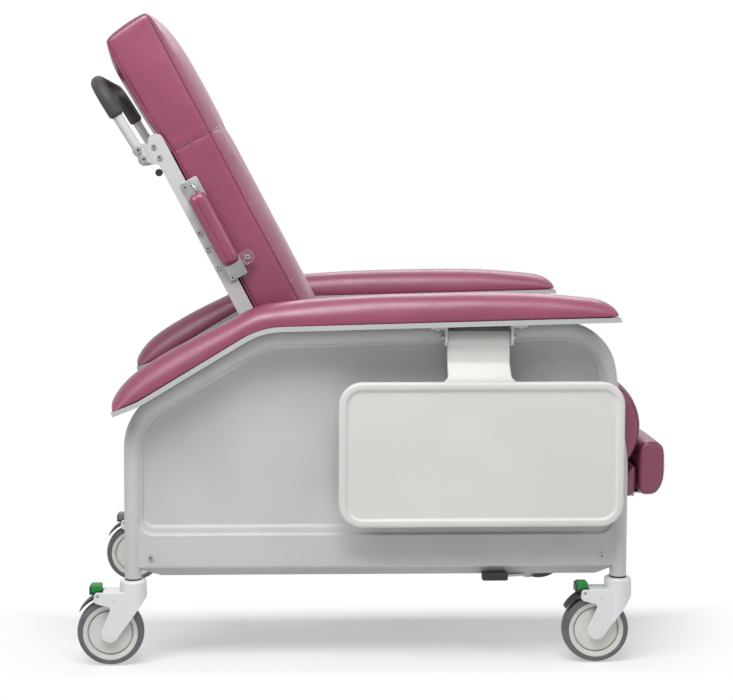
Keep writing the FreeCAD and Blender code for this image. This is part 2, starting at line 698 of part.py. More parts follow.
def arm_plate():
    """Carrier plate on the side tube, bent with it."""
    under = TUBE_R + SEAT_GAP
    lower = arm_edges(under, ARM_IN)
    upper = arm_edges(under + ARM_PLATE_T, ARM_IN)
    ends = [line(lower[0].Vertexes[0].Point, upper[0].Vertexes[0].Point),
            line(lower[-1].Vertexes[-1].Point, upper[-1].Vertexes[-1].Point)]
    outline = Part.Wire(Part.sortEdges(lower + upper + ends)[0])
    return Part.Face(outline).extrude(V(0, ARM_OUT - ARM_IN, 0))


def arm_pad_section(share, fullness):
    """Side outline of the arm pad at one place across its width."""
    seat = TUBE_R + ARM_PLATE_T + 2 * SEAT_GAP
    y = ARM_MID + share * (ARM_OUT - ARM_IN) / 2
    slope, top = arm_directions()
    slope_up = V(-slope.z, 0, slope.x)
    top_up = V(-top.z, 0, top.x)
    knee = arm_knee(seat)
    crown = [at(knee + slope * run + slope_up * (rise * fullness), y) for run, rise in ARM_REAR_CROWN]
    crown.append(at(knee + (slope_up + top_up).normalize() * (ARM_KNEE_CROWN * fullness), y))
    crown += [at(knee + top * run + top_up * (rise * fullness), y) for run, rise in ARM_FRONT_CROWN]
    bottom = arm_edges(seat, y)
    start = bottom[0].Vertexes[0].Point
    end = bottom[-1].Vertexes[-1].Point
    over = [arc(*crown[i:i + 3]) for i in range(0, len(crown) - 2, 2)]
    return Part.Wire(Part.sortEdges(bottom + [line(start, crown[0])] + over + [line(crown[-1], end)])[0])


def arm_pad():
    return Part.makeLoft([arm_pad_section(*section) for section in ARM_PAD_SECTIONS], True, True)


# Seat


def cushion(profile, half_width):
    """A pad crowned across its width, from an outline that depends on the crown's share."""
    wires = [profile(1 - share ** 2, share * half_width) for share in CROWN_STATIONS]
    return Part.makeLoft(wires, True, True)


def draw_in(pad, middle, direction, length, depth, half_width):
    """Hollow the two sides between their seams."""
    half = depth / 2 - SEAM_BAND
    radius = (half ** 2 + SIDE_PINCH ** 2) / (2 * SIDE_PINCH)
    tools = []
    for side in (-1, 1):
        start = middle - direction * (length / 2) + ALONG_Y * (side * (half_width - SIDE_PINCH + radius))
        tools.append(Part.makeCylinder(radius, length, start, direction))
    return pad.cut(tools)


def roll_point(radius, degrees):
    angle = math.radians(degrees)
    return LEG_PIVOT + V(math.cos(angle), 0, math.sin(angle)) * radius


def seat_profile(crown, y):
    radius = ROLL_R + ROLL_CROWN * crown
    bottom = SEAT_BOARD_Z + SEAT_BOARD_T + SEAT_GAP
    rear_top = V(SEAT_REAR_X, 0, POLE_END_Z + SEAT_REAR_H + SEAT_REAR_CROWN * crown)
    corner = V(LEG_PIVOT.x - SEAT_BOARD_FRONT, 0, bottom)
    rear_low = V(SEAT_REAR_X, 0, bottom)
    top, fore_high, fore, fore_low, low = (at(roll_point(radius, a), y) for a in ROLL_ANGLES)
    rear_low, rear_top, corner = (at(p, y) for p in (rear_low, rear_top, corner))
    return Part.Wire([line(rear_low, rear_top), line(rear_top, top), arc(top, fore_high, fore),
                      arc(fore, fore_low, low), line(low, corner), line(corner, rear_low)])


def seat_cushion():
    pad = cushion(seat_profile, SEAT_HALF_WIDTH)
    bottom = SEAT_BOARD_Z + SEAT_BOARD_T
    rear_top = POLE_END_Z + SEAT_REAR_H
    front_top = LEG_PIVOT.z + ROLL_R
    length = LEG_PIVOT.x - SEAT_REAR_X
    middle = V((LEG_PIVOT.x + SEAT_REAR_X) / 2, 0, (2 * bottom + rear_top + front_top) / 4)
    direction = V(length, 0, (front_top - rear_top) / 2).normalize()
    return draw_in(pad, middle, direction, 2 * length, rear_top - bottom, SEAT_HALF_WIDTH)


def seat_board():
    return box((SEAT_REAR_X, -SEAT_BOARD_HALF, SEAT_BOARD_Z),
               (LEG_PIVOT.x - SEAT_BOARD_FRONT, SEAT_BOARD_HALF, SEAT_BOARD_Z + SEAT_BOARD_T))


def seat_bar(x):
    """Cross bar under the seat board."""
    half = SEAT_BAR_W / 2
    return box((x - half, -POST_IN, SEAT_BAR_Z), (x + half, POST_IN, SEAT_BAR_Z + SEAT_BAR_H))


def seat_support():
    """Welded side carrier: two posts, a rail and the ears for both pivots."""
    foot = RAIL_Z + RAIL_H
    half = POST_SIDE / 2
    body = box((POST_X[0], POST_IN, SEAT_BAR_Z), (POST_X[1], POST_OUT, SEAT_BAR_Z + SEAT_BAR_H))
    for x in POST_X:
        top = arch_z(x - half) - TUBE_R - SEAT_GAP
        body = body.fuse(box((x - half, POST_IN, foot), (x + half, POST_OUT, top)))
    ear_r = 2 * SHOULDER_R
    rear = plate_between(V(POST_X[0], 0, BACK_PIVOT.z), ear_r, BACK_PIVOT, ear_r, EAR_IN, POST_IN)
    front = plate_between(V(POST_X[1], 0, LEG_PIVOT.z), LEG_EYE_R, LEG_PIVOT, LEG_EYE_R, EAR_IN, POST_IN)
    body = body.fuse([rear, front])
    holes = [hole(BACK_PIVOT, PIVOT_BOLT_R, EAR_IN, POST_IN),
             hole(LEG_PIVOT, LEG_BOLT_R, EAR_IN, POST_IN)]
    return clean(body.cut(holes))


def back_bolt():
    """Shoulder bolt from the ear into the back's upright."""
    shank = disc(BACK_PIVOT, PIVOT_BOLT_R, BAR_IN, POST_IN)
    shoulder = disc(BACK_PIVOT, SHOULDER_R, BAR_OUT + SEAT_GAP, EAR_IN)
    head = disc(BACK_PIVOT, SHOULDER_R, POST_IN, POST_IN + PIVOT_BOLT_R)
    return clean(shank.fuse([shoulder, head]))


def leg_bolt():
    """Shoulder bolt from the ear into the leg rest's side plate."""
    shank = disc(LEG_PIVOT, LEG_BOLT_R, LEG_PLATE_IN, POST_IN)
    shoulder = disc(LEG_PIVOT, LEG_SHOULDER_R, LEG_PLATE_OUT + SEAT_GAP, EAR_IN)
    head = disc(LEG_PIVOT, LEG_HEAD_R, POST_IN, POST_IN + LEG_BOLT_R)
    return clean(shank.fuse([shoulder, head]))


# Back


def back_point(s, t):
    """A point of the back: s up from the pivot along the back, t towards the sitter."""
    return BACK_PIVOT + BACK_UP * s + BACK_FORE * t


def back_corners(s_low, s_high, t_low, t_high):
    places = ((s_low, t_low), (s_high, t_low), (s_high, t_high), (s_low, t_high))
    return [back_point(s, t) for s, t in places]


def lever_pin(pivot, length, half_swing):
    """The link pin below a pivot, half the swing behind its middle position."""
    return pivot + V(-math.sin(half_swing), 0, -math.cos(half_swing)) * length


def handle_lean():
    angle = LEAN + math.radians(HANDLE_EXTRA_LEAN)
    return V(-math.sin(angle), 0, math.cos(angle))


def handle_top_bolt():
    return back_point(SEAM_S + HANDLE_BELOW_BOLT, -HANDLE_BACKSET)


def handle_bolts():
    top = handle_top_bolt()
    return [top, top - handle_lean() * HANDLE_BOLT_PITCH]


def bar_screws():
    return [back_point(s, BAR_SCREW_T) for s in BAR_SCREW_S]


def bolster_screws():
    top_end, low_end = BOLSTER_SCREW_END
    return [back_point(BOLSTER_S + BOLSTER_PLATE_L / 2 - top_end, BOLSTER_SCREW_T),
            back_point(BOLSTER_S - BOLSTER_PLATE_L / 2 + low_end, BOLSTER_SCREW_T),
            back_point(sum(BOLSTER_TAB_S) / 2, BOLSTER_TAB_T - BOLSTER_SCREW_TAB)]


def back_upright():
    """Flat bar behind the back, with an ear for the push handle and a tail for the link."""
    top = back_point(SEAM_S + HANDLE_BELOW_BOLT, 0)
    pin = lever_pin(BACK_PIVOT, BACK_LEVER, HALF_BACK_SWING)
    bar = plate_between(BACK_PIVOT, BAR_HALF_W, top, BAR_HALF_W, BAR_IN, BAR_OUT)
    tail = plate_between(BACK_PIVOT, BAR_HALF_W, pin, LINK_PIN_EYE_R, BAR_IN, BAR_OUT)
    ear_r = HANDLE_R + EAR_ROUND
    ears = [plate_between(back_point(SEAM_S + EAR_STEP * i, 0), BAR_HALF_W, bolt, ear_r, BAR_IN, BAR_OUT)
            for i, bolt in enumerate(reversed(handle_bolts()))]
    stud = disc(pin, LINK_PIN_R, BAR_IN, LINK_OUT + LINK_PIN_END)
    holes = [hole(BACK_PIVOT, PIVOT_BOLT_R, BAR_IN, BAR_OUT)]
    holes += [hole(p, BOLT_R, BAR_IN, BAR_OUT) for p in handle_bolts()]
    holes += [hole(p, SCREW_R, BAR_IN, BAR_OUT) for p in bar_screws() + bolster_screws()]
    return clean(bar.fuse([tail, stud] + ears).cut(holes))


def back_board():
    """Plywood panel between the uprights."""
    high = REAR_T - SEAT_GAP
    corners = back_corners(2 * BACK_START, SEAM_S, high - BOARD_T, high)
    return slab(corners, -BAR_IN + SEAT_GAP, BAR_IN - SEAT_GAP)


def back_profile(crown, y):
    low, high = BACK_START, SEAM_S - SEAT_GAP
    rise = EDGE_CROWN + BACK_CROWN * crown
    places = ((low, REAR_T), (low, FRONT_T), (high, FRONT_T + SEAM_CROWN * crown), (high, REAR_T))
    rear_low, front_low, front_high, rear_high = (at(back_point(s, t), y) for s, t in places)
    front = arc(front_low, at(back_point((low + high) / 2, FRONT_T + rise), y), front_high)
    over = line(front_high, rear_high)
    return Part.Wire([line(rear_low, front_low), front, over, line(rear_high, rear_low)])


def head_profile(crown, y):
    low, high = SEAM_S, BACK_LENGTH
    rise = EDGE_CROWN + BACK_CROWN * crown
    lift = EDGE_CROWN + (HEAD_TOP_CROWN - EDGE_CROWN) * crown
    places = ((low, REAR_T), (low, FRONT_T + SEAM_CROWN * crown), (high, FRONT_T),
              (high - HEAD_REAR_STEP, REAR_T - HEAD_SWELL))
    rear_low, front_low, front_high, rear_high = (at(back_point(s, t), y) for s, t in places)
    front = arc(front_low, at(back_point((low + high) / 2, FRONT_T + rise), y), front_high)
    over = arc(front_high, (front_high + rear_high) / 2 + BACK_UP * lift, rear_high)
    return Part.Wire([line(rear_low, front_low), front, over, line(rear_high, rear_low)])


def back_cushion():
    pad = cushion(back_profile, BACK_HALF_WIDTH)
    middle = back_point((BACK_START + SEAM_S) / 2, (REAR_T + FRONT_T) / 2)
    return draw_in(pad, middle, BACK_UP, 2 * BACK_LENGTH, BACK_THICKNESS, BACK_HALF_WIDTH)


def head_cushion():
    pad = cushion(head_profile, BACK_HALF_WIDTH)
    middle = back_point((BACK_LENGTH + SEAM_S) / 2, (REAR_T + FRONT_T) / 2)
    return draw_in(pad, middle, BACK_UP, 2 * BACK_LENGTH, BACK_THICKNESS, BACK_HALF_WIDTH)


def handle_points(start):
    """Path of the push handle, from the given place on one leg to the same on the other."""
    side = BAR_OUT + SEAT_GAP + HANDLE_R
    low = handle_top_bolt() + handle_lean() * start
    high = handle_top_bolt() + handle_lean() * HANDLE_ABOVE_BOLT
    return [at(low, side), at(high, side), at(high, -side), at(low, -side)]


def push_handle():
    points = handle_points(-HANDLE_BELOW_BOLT)
    bends = (HANDLE_BEND_R, HANDLE_BEND_R)
    tube = rod(points, bends, HANDLE_R).cut(rod(points, bends, HANDLE_R - HANDLE_WALL))
    reach = BAR_OUT + 3 * HANDLE_R
    return tube.cut([hole(p, BOLT_R, -reach, reach) for p in handle_bolts()])


def handle_grip():
    points = handle_points(GRIP_START)
    bends = (HANDLE_BEND_R, HANDLE_BEND_R)
    bore = HANDLE_R + SEAT_GAP / 3
    return rod(points, bends, bore + GRIP_T).cut(rod(points, bends, bore))


def handle_bolt(point):
    """Bolt through the handle's leg and the ear."""
    head = BAR_OUT + SEAT_GAP + 2 * HANDLE_R
    return screw(at(point, head), ALONG_Y, BOLT_HEAD_R, BOLT_R, BOLT_R, head - BAR_IN)


def bar_screw(point):
    return screw(at(point, BAR_OUT), ALONG_Y, SCREW_HEAD_R, SCREW_HEAD_H, SCREW_R, BAR_T)


def bolster_screw(point):
    face = BAR_OUT + SEAT_GAP + BOLSTER_PLATE_THICK
    return screw(at(point, face), ALONG_Y, SCREW_HEAD_R, SCREW_HEAD_H, SCREW_R, BOLSTER_PLATE_THICK)


def bolster_plate():
    """Steel strip that carries the side bolster, with a tab at its lower end."""
    low, high = BOLSTER_S - BOLSTER_PLATE_L / 2, BOLSTER_S + BOLSTER_PLATE_L / 2
    near, far = BOLSTER_PLATE_T
    inner = BAR_OUT + SEAT_GAP
    outer = inner + BOLSTER_PLATE_THICK
    strip = slab(back_corners(low, high, near, far), inner, outer)
    tab = slab(back_corners(*BOLSTER_TAB_S, near, BOLSTER_TAB_T), inner, outer)
    holes = [hole(p, SCREW_R, inner, outer) for p in bolster_screws()]
    return clean(strip.fuse(tab).cut(holes))


def bolster_loop(inset, y):
    half_l = BOLSTER_PAD_L / 2 - inset
    half_w = BOLSTER_PAD_W / 2 - inset
    mid_t = sum(BOLSTER_PLATE_T) / 2
    corners = [(-half_l, -half_w), (half_l, -half_w), (half_l, half_w), (-half_l, half_w)]
    points = [at(back_point(BOLSTER_S + s, mid_t + t), y) for s, t in corners]
    start = (points[0] + points[3]) / 2
    radius = min(BOLSTER_CORNER_R, half_w - SEAT_GAP)
    return Part.Wire(rounded_edges([start] + points + [start], [radius] * len(points)))


def bolster_pad():
    """Small pad on the strip, fullest in its middle."""
    loops = [bolster_loop(inset, BOLSTER_BASE + share * BOLSTER_PAD_H)
             for share, inset in BOLSTER_SECTIONS]
    return Part.makeLoft(loops, True, True)


def handle_stop():
    """Rubber buffer behind the upright, under the handle's ear."""
    middle = back_point(SEAM_S - STOP_BELOW, -BAR_HALF_W - STOP_R - SEAT_GAP)
    return disc(middle, STOP_R, BAR_IN, BAR_OUT + PLATE_GAP)


# Leg rest


def leg_point(x, drop):
    return LEG_PIVOT + V(x, 0, -drop)


def calf_frame():
    """Board behind the calf pad, with a side plate and lever on each end."""
    high, low = CALF_BOARD_DROP
    board = slab([leg_point(CALF_BOARD_X, high), leg_point(CALF_BOARD_X + CALF_BOARD_T, high),
                  leg_point(CALF_BOARD_X + CALF_BOARD_T, low), leg_point(CALF_BOARD_X, low)],
                 -LEG_PLATE_IN, LEG_PLATE_IN)
    pin = lever_pin(LEG_PIVOT, LEG_LEVER, HALF_LEG_SWING)
    foot = leg_point(CALF_BOARD_X + CALF_BOARD_T / 2, (high + low) / 2)
    arm = plate_between(LEG_PIVOT, LEG_EYE_R, foot, LEG_EYE_R, LEG_PLATE_IN, LEG_PLATE_OUT)
    lever = plate_between(LEG_PIVOT, LEG_EYE_R, pin, LINK_PIN_EYE_R, LEG_PLATE_IN, LEG_PLATE_OUT)
    side = arm.fuse([lever, disc(pin, LINK_PIN_R, LEG_PLATE_IN, LINK_OUT + LINK_PIN_END)])
    side = side.cut(hole(LEG_PIVOT, LEG_BOLT_R, LEG_PLATE_IN, LEG_PLATE_OUT))
    return clean(board.fuse([side, mirrored(side)]))


def calf_profile(crown, y):
    rear = CALF_BOARD_X + CALF_BOARD_T + SEAT_GAP
    reach = ROLL_R + ROLL_CROWN + ROLL_GAP
    rise = EDGE_CROWN + CALF_CROWN * crown
    rear_drop = math.sqrt(reach ** 2 - rear ** 2)
    front_drop = math.sqrt(reach ** 2 - CALF_FRONT_X ** 2)
    bisect = V((rear + CALF_FRONT_X) / 2, 0, -(rear_drop + front_drop) / 2).normalize()
    places = ((rear, CALF_BOTTOM), (CALF_FRONT_X, CALF_BOTTOM),
              (CALF_FRONT_X, front_drop), (rear, rear_drop))
    rear_low, front_low, front_high, rear_high = (at(leg_point(x, drop), y) for x, drop in places)
    fore = at(leg_point(CALF_FRONT_X + rise, (CALF_BOTTOM + front_drop) / 2), y)
    return Part.Wire([line(rear_low, front_low), arc(front_low, fore, front_high),
                      arc(front_high, at(LEG_PIVOT + bisect * reach, y), rear_high),
                      line(rear_high, rear_low)])


def calf_pad():
    return cushion(calf_profile, CALF_HALF_WIDTH)


def foot_axis():
    return leg_point(*FOOT_AXIS)


def foot_profile(crown, y):
    low = foot_axis().z - LEG_PIVOT.z + FOOT_RISE
    high = low + FOOT_LENGTH
    front = FOOT_REAR_X + FOOT_THICKNESS
    rise = EDGE_CROWN + FOOT_CROWN * crown
    lift = EDGE_CROWN + FOOT_END_CROWN * crown
    places = ((FOOT_REAR_X, low), (front, low), (front, high), (FOOT_REAR_X, high))
    rear_low, front_low, front_high, rear_high = (at(leg_point(x, -z), y) for x, z in places)
    fore = at(leg_point(front + rise, -(low + high) / 2), y)
    over = at(leg_point((FOOT_REAR_X + front) / 2, -high - lift), y)
    return Part.Wire([line(rear_low, front_low), arc(front_low, fore, front_high),
                      arc(front_high, over, rear_high), line(rear_high, rear_low)])


def foot_pad():
    pad = cushion(foot_profile, CALF_HALF_WIDTH)
    middle = foot_axis() + V(FOOT_REAR_X - FOOT_AXIS[0] + FOOT_THICKNESS / 2, 0, FOOT_LENGTH / 2)
    return draw_in(pad, middle, ALONG_Z, 2 * FOOT_LENGTH, FOOT_THICKNESS, CALF_HALF_WIDTH)


def knuckles(start):
    """Hinge barrels on every second stretch of the hinge."""
    stretches = list(zip(HINGE_CUTS, HINGE_CUTS[1:]))[start::2]
    return [(low + SEAT_GAP, high - SEAT_GAP) for low, high in stretches]


def hinge_leaf(x_near, x_far, z_low, start):
    """Leaf with its barrels about the foot pad's axis."""
    axis = foot_axis()
    z_high = z_low + LEAF_T
    body = box((min(x_near, x_far), HINGE_CUTS[0], z_low), (max(x_near, x_far), HINGE_CUTS[-1], z_high))
    for low, high in knuckles(start):
        neck_top = min(z_high, axis.z + KNUCKLE_R)
        neck = box((min(axis.x, x_far), low, z_low), (max(axis.x, x_far), high, neck_top))
        body = body.fuse([neck, disc(axis, KNUCKLE_R, low, high)])
    return body


def foot_hinge():
    """Hinge leaf under the calf pad, with the pin."""
    axis = foot_axis()
    near = axis.x - KNUCKLE_R - LEAF_CLEAR
    leaf = hinge_leaf(near, LEG_PIVOT.x + CALF_BOARD_X + CALF_BOARD_T + SEAT_GAP,
                      LEG_PIVOT.z - CALF_BOTTOM - SEAT_GAP - LEAF_T, 0)
    return clean(leaf.fuse(disc(axis, HINGE_PIN_R, HINGE_CUTS[0], HINGE_CUTS[-1])))


def foot_bracket():
    """Hinge leaf under the foot pad."""
    axis = foot_axis()
    near = axis.x + KNUCKLE_R + LEAF_CLEAR
    leaf = hinge_leaf(near, LEG_PIVOT.x + FOOT_REAR_X + FOOT_THICKNESS - FOOT_LEAF_SHORT,
                      axis.z + FOOT_RISE - SEAT_GAP - LEAF_T, 1)
    return clean(leaf.cut(hole(axis, HINGE_PIN_R, HINGE_CUTS[0], HINGE_CUTS[-1])))


def recline_link():
    """Bar from the back's tail to the leg rest's lever, with an upright slot at each end."""
    ends = []
    for pivot, length, half_swing in ((BACK_PIVOT, BACK_LEVER, HALF_BACK_SWING),
                                      (LEG_PIVOT, LEG_LEVER, HALF_LEG_SWING)):
        drop = length * (1 - math.cos(half_swing)) / 2
        pin = lever_pin(pivot, length, half_swing)
        ends.append((pin - V(0, 0, drop), drop))
    (rear, rear_drop), (front, front_drop) = ends
    bar = plate_between(rear, LINK_HALF_H, front, LINK_HALF_H, LINK_IN, LINK_OUT)
    half_w = LINK_PIN_R + LINK_SLOT_GAP
    slots = []
    for middle, drop in ends:
        half_h = drop + half_w
        slots.append(box((middle.x - half_w, LINK_IN - CUT_OVER, middle.z - half_h),
                         (middle.x + half_w, LINK_OUT + CUT_OVER, middle.z + half_h)))
    return bar.cut(slots)


# Tray


def tray_axis():
    return V(0, TRAY_Y + TRAY_AXIS_IN, arch_z(NECK_MIDDLE) + TUBE_R - TRAY_AXIS_DROP)


def tray_slab(inset, y_low, y_high):
    """Round-cornered block of the tray's outline."""
    axis = tray_axis()
    x_low, x_high = TRAY_X[0] + inset, TRAY_X[1] - inset
    z_low, z_high = axis.z + TRAY_Z[0] + inset, axis.z + TRAY_Z[1] - inset
    block = box((x_low, y_low, z_low), (x_high, y_high, z_high))
    upright = [e for e in block.Edges if e.BoundBox.YLength > abs(y_high - y_low) / 2]
    return block.makeFillet(TRAY_CORNER_R - inset, upright)


def tray():
    """Moulded tray with a raised rim, on a stepped neck with a hinge barrel."""
    axis = tray_axis()
    back = TRAY_Y + TRAY_T
    body = tray_slab(0, TRAY_Y, back)
    body = body.makeFillet(TRAY_RECESS, [e for e in body.Edges if e.BoundBox.YMax < TRAY_Y + TRAY_T / 2])
    low, high = NECK_X
    half = NECK_T / 2
    lap = axis.z + TRAY_Z[1] - 2 * TRAY_RIM
    mid = TRAY_Y + TRAY_T / 2
    jog_high, jog_low = (axis.z + z for z in NECK_JOG)
    top = axis.z + NECK_TOP
    inner = [(axis.y + half, top), (axis.y + half, jog_high), (mid + half, jog_low), (mid + half, lap)]
    outer = [(mid - half, lap), (mid - half, jog_low + half),
             (axis.y - half, jog_high + half), (axis.y - half, top)]
    points = [V(low, y, z) for y, z in inner + outer]
    neck = Part.Face(Part.makePolygon(points + points[:1])).extrude(V(high - low, 0, 0))
    barrel = Part.makeCylinder(TRAY_KNUCKLE_R, high - low, V(low, axis.y, axis.z), ALONG_X)
    bore = Part.makeCylinder(TRAY_PIN_R + RUN_GAP, high - low + 2 * CUT_OVER,
                             V(low - CUT_OVER, axis.y, axis.z), ALONG_X)
    front_recess = tray_slab(TRAY_RIM, TRAY_Y - CUT_OVER, TRAY_Y + TRAY_RECESS)
    body = body.cut(tray_slab(TRAY_BACK_RIM, back - TRAY_BACK_RECESS, back + CUT_OVER))
    return clean(body.fuse([neck, barrel]).cut([front_recess, bore]))


def bracket_x():
    """Inner and outer face of each ear, beside the neck."""
    low, high = NECK_X
    gap = 2 * SEAT_GAP
    return ((low - gap, low - gap - BRACKET_T), (high + gap, high + gap + BRACKET_T))


def bracket_top(x):
    return arch_z(x) + TUBE_R


def tray_bracket(inner, outer):
    """Angle bracket under the arm plate, with an ear for the tray's pin."""
    axis = tray_axis()
    way = math.copysign(1, outer - inner)
    far = outer + way * BRACKET_FLANGE
    top = bracket_top(min(inner, far))
    low_x, high_x = min(inner, outer), max(inner, outer)
    ear = box((low_x, axis.y - BRACKET_HALF_W, axis.z), (high_x, axis.y + BRACKET_HALF_W, top))
    eye = Part.makeCylinder(BRACKET_HALF_W, BRACKET_T, V(low_x, axis.y, axis.z), ALONG_X)
    flange = box((min(outer, far), axis.y - BRACKET_HALF_W, top - BRACKET_T),
                 (max(outer, far), axis.y + BRACKET_HALF_W, top))
    bore = Part.makeCylinder(TRAY_PIN_R + RUN_GAP, BRACKET_T + 2 * CUT_OVER,
                             V(low_x - CUT_OVER, axis.y, axis.z), ALONG_X)
    holes = [screw_hole(p, V(0, 0, -1), SCREW_R, BRACKET_T) for p in bracket_screw_points(inner, outer)]
    return clean(ear.fuse([eye, flange]).cut([bore] + holes))


def bracket_screw_points(inner, outer):
    axis = tray_axis()
    way = math.copysign(1, outer - inner)
    x = outer + way * BRACKET_FLANGE / 2
    top = bracket_top(min(inner, outer + way * BRACKET_FLANGE))
    return [V(x, axis.y + side * BRACKET_HALF_W / 2, top - BRACKET_T) for side in (-1, 1)]


def tray_hinge_pin():
    axis = tray_axis()
    low = bracket_x()[0][1] - BRACKET_T
    high = bracket_x()[1][1] + BRACKET_T
    pin = Part.makeCylinder(TRAY_PIN_R, high - low, V(low, axis.y, axis.z), ALONG_X)
    heads = [Part.makeCylinder(TRAY_PIN_HEAD_R, BRACKET_T - SEAT_GAP, V(x, axis.y, axis.z), ALONG_X)
             for x in (low, high - BRACKET_T + SEAT_GAP)]
    return clean(pin.fuse(heads))


# Release lever


def lever_y():
    return (RAIL_IN + RAIL_OUT) / 2


def lever_top():
    return RAIL_Z - SEAT_GAP


def lever_blade(margin):
    """Flat lever from the bolt under the rail to the grip outside it."""
    low = lever_top() - LEVER_T - margin
    high = lever_top() + margin
    start = V(LEVER_X, -lever_y(), low)
    end = V(sum(LEVER_GRIP_X) / 2, -RAIL_OUT - LEVER_GRIP_W / 2, low)
    run = (end - start).normalize()
    side = V(-run.y, run.x, 0)
    half = LEVER_GRIP_W / 4 + margin
    corners = [start + side * LEVER_R, end + side * half, end - side * half, start - side * LEVER_R]
    blade = Part.Face(Part.makePolygon(corners + corners[:1])).extrude(V(0, 0, high - low))
    return blade.fuse(Part.makeCylinder(LEVER_R, high - low, start, ALONG_Z))


def release_lever():
    blade = lever_blade(0)
    start = V(LEVER_X, -lever_y(), lever_top() - RAIL_H / 2)
    bore = Part.makeCylinder(BOLT_R + RUN_GAP, RAIL_H, start, ALONG_Z)
    return clean(blade.cut(bore))


def lever_grip():
    """Moulded grip pushed over the blade's end."""
    low, high = LEVER_GRIP_X
    near = -RAIL_OUT - 2 * SEAT_GAP
    middle = lever_top() - LEVER_T / 2
    half = LEVER_GRIP_H / 2
    block = box((low, near - LEVER_GRIP_W, middle - half), (high, near, middle + half))
    block = block.makeFillet(half / 2, block.Edges)
    return block.cut(lever_blade(SEAT_GAP / 3))


def lever_bolt():
    point = V(LEVER_X, -lever_y(), lever_top() - LEVER_T - SEAT_GAP)
    return screw(point, V(0, 0, -1), 2 * BOLT_R, BOLT_R, BOLT_R, RAIL_CHAMFER_H)


# Assembly


def both_sides(name, shape):
    return {name + "_right": mirrored(shape), name + "_left": shape}


def pairs(shapes):
    """Fasteners of one kind on both sides, as a group of separate solids."""
    return Part.makeCompound(list(shapes) + [mirrored(s) for s in shapes])


def caster_nodes():
    nodes = {}
    stems = []
    for end, stem_x in (("rear", REAR_POLE_X), ("front", FRONT_POLE_X)):
        for side, y in (("right", -FRAME_HALF_WIDTH), ("left", FRAME_HALF_WIDTH)):
            name = f"caster_{end}_{side}"
            nodes[name + "_fork"] = Part.makeCompound([fork(stem_x, y), axle(stem_x, y)])
            nodes[name + "_hub"] = turned(hub_profile, stem_x, y)
            nodes[name + "_tyre"] = turned(tyre_profile, stem_x, y)
            nodes[name + "_pedal"] = brake_pedal(stem_x, y)
            stems.append(caster_stem(stem_x, y))
    nodes["caster_stems"] = Part.makeCompound(stems)
    return nodes


def frame_nodes():
    nodes = {}
    nodes.update(both_sides("side_frame", side_frame()))
    nodes.update(both_sides("lower_rail", lower_rail()))
    nodes.update(both_sides("side_panel", side_panel()))
    nodes.update(both_sides("arm_plate", arm_plate()))
    nodes.update(both_sides("arm_pad", arm_pad()))
    nodes.update(both_sides("seat_support", seat_support()))
    nodes["base_crossbars"] = Part.makeCompound([base_bar(x) for x in BASE_BAR_X])
    nodes["seat_crossbars"] = Part.makeCompound([seat_bar(x) for x in SEAT_BAR_X])
    nodes["seat_board"] = seat_board()
    nodes["seat_cushion"] = seat_cushion()
    nodes["pivot_bolts"] = pairs([back_bolt(), leg_bolt()])
    nodes["tray_brackets"] = Part.makeCompound([tray_bracket(*x) for x in bracket_x()])
    nodes["tray_hinge_pin"] = tray_hinge_pin()
    skirt = [screw(p, ALONG_Y, SCREW_HEAD_R, SCREW_HEAD_H, SCREW_R, PANEL_POCKET)
             for p in panel_screw_points()]
    under = [screw(p, V(0, 0, -1), SCREW_HEAD_R, SCREW_HEAD_H, SCREW_R, BRACKET_T)
             for x in bracket_x() for p in bracket_screw_points(*x)]
    nodes["frame_screws"] = Part.makeCompound([pairs(skirt), Part.makeCompound(under + [lever_bolt()])])
    return nodes


def back_nodes():
    nodes = {}
    nodes.update(both_sides("back_upright", back_upright()))
    nodes.update(both_sides("bolster_plate", bolster_plate()))
    nodes.update(both_sides("bolster_pad", bolster_pad()))
    nodes["back_board"] = back_board()
    nodes["back_cushion"] = back_cushion()
    nodes["head_cushion"] = head_cushion()
    nodes["push_handle"] = push_handle()
    nodes["handle_grip"] = handle_grip()
    nodes["handle_stops"] = pairs([handle_stop()])
    screws = [bar_screw(p) for p in bar_screws()] + [bolster_screw(p) for p in bolster_screws()]
    nodes["back_screws"] = pairs(screws + [handle_bolt(p) for p in handle_bolts()])
    return nodes


def moving_nodes():
    return {
        "calf_frame": calf_frame(),
        "calf_pad": calf_pad(),
        "foot_hinge": foot_hinge(),
        "foot_bracket": foot_bracket(),
        "foot_pad": foot_pad(),
        "recline_links": pairs([recline_link()]),
        "tray": tray(),
        "release_lever": release_lever(),
        "lever_grip": lever_grip(),
    }


def main():
    os.makedirs("parts", exist_ok=True)
    nodes = {}
    for group in (frame_nodes(), caster_nodes(), back_nodes(), moving_nodes()):
        nodes.update(group)
    for name, shape in nodes.items():
        shape.exportStep(f"parts/{name}.step")
    print(len(nodes), "nodes")


main()
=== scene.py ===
"""Medical recliner: upholstery, finishes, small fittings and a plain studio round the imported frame."""
import json
import math

import bmesh
import bpy
import numpy as np
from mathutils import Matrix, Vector, kdtree, noise
from mathutils.bvhtree import BVHTree

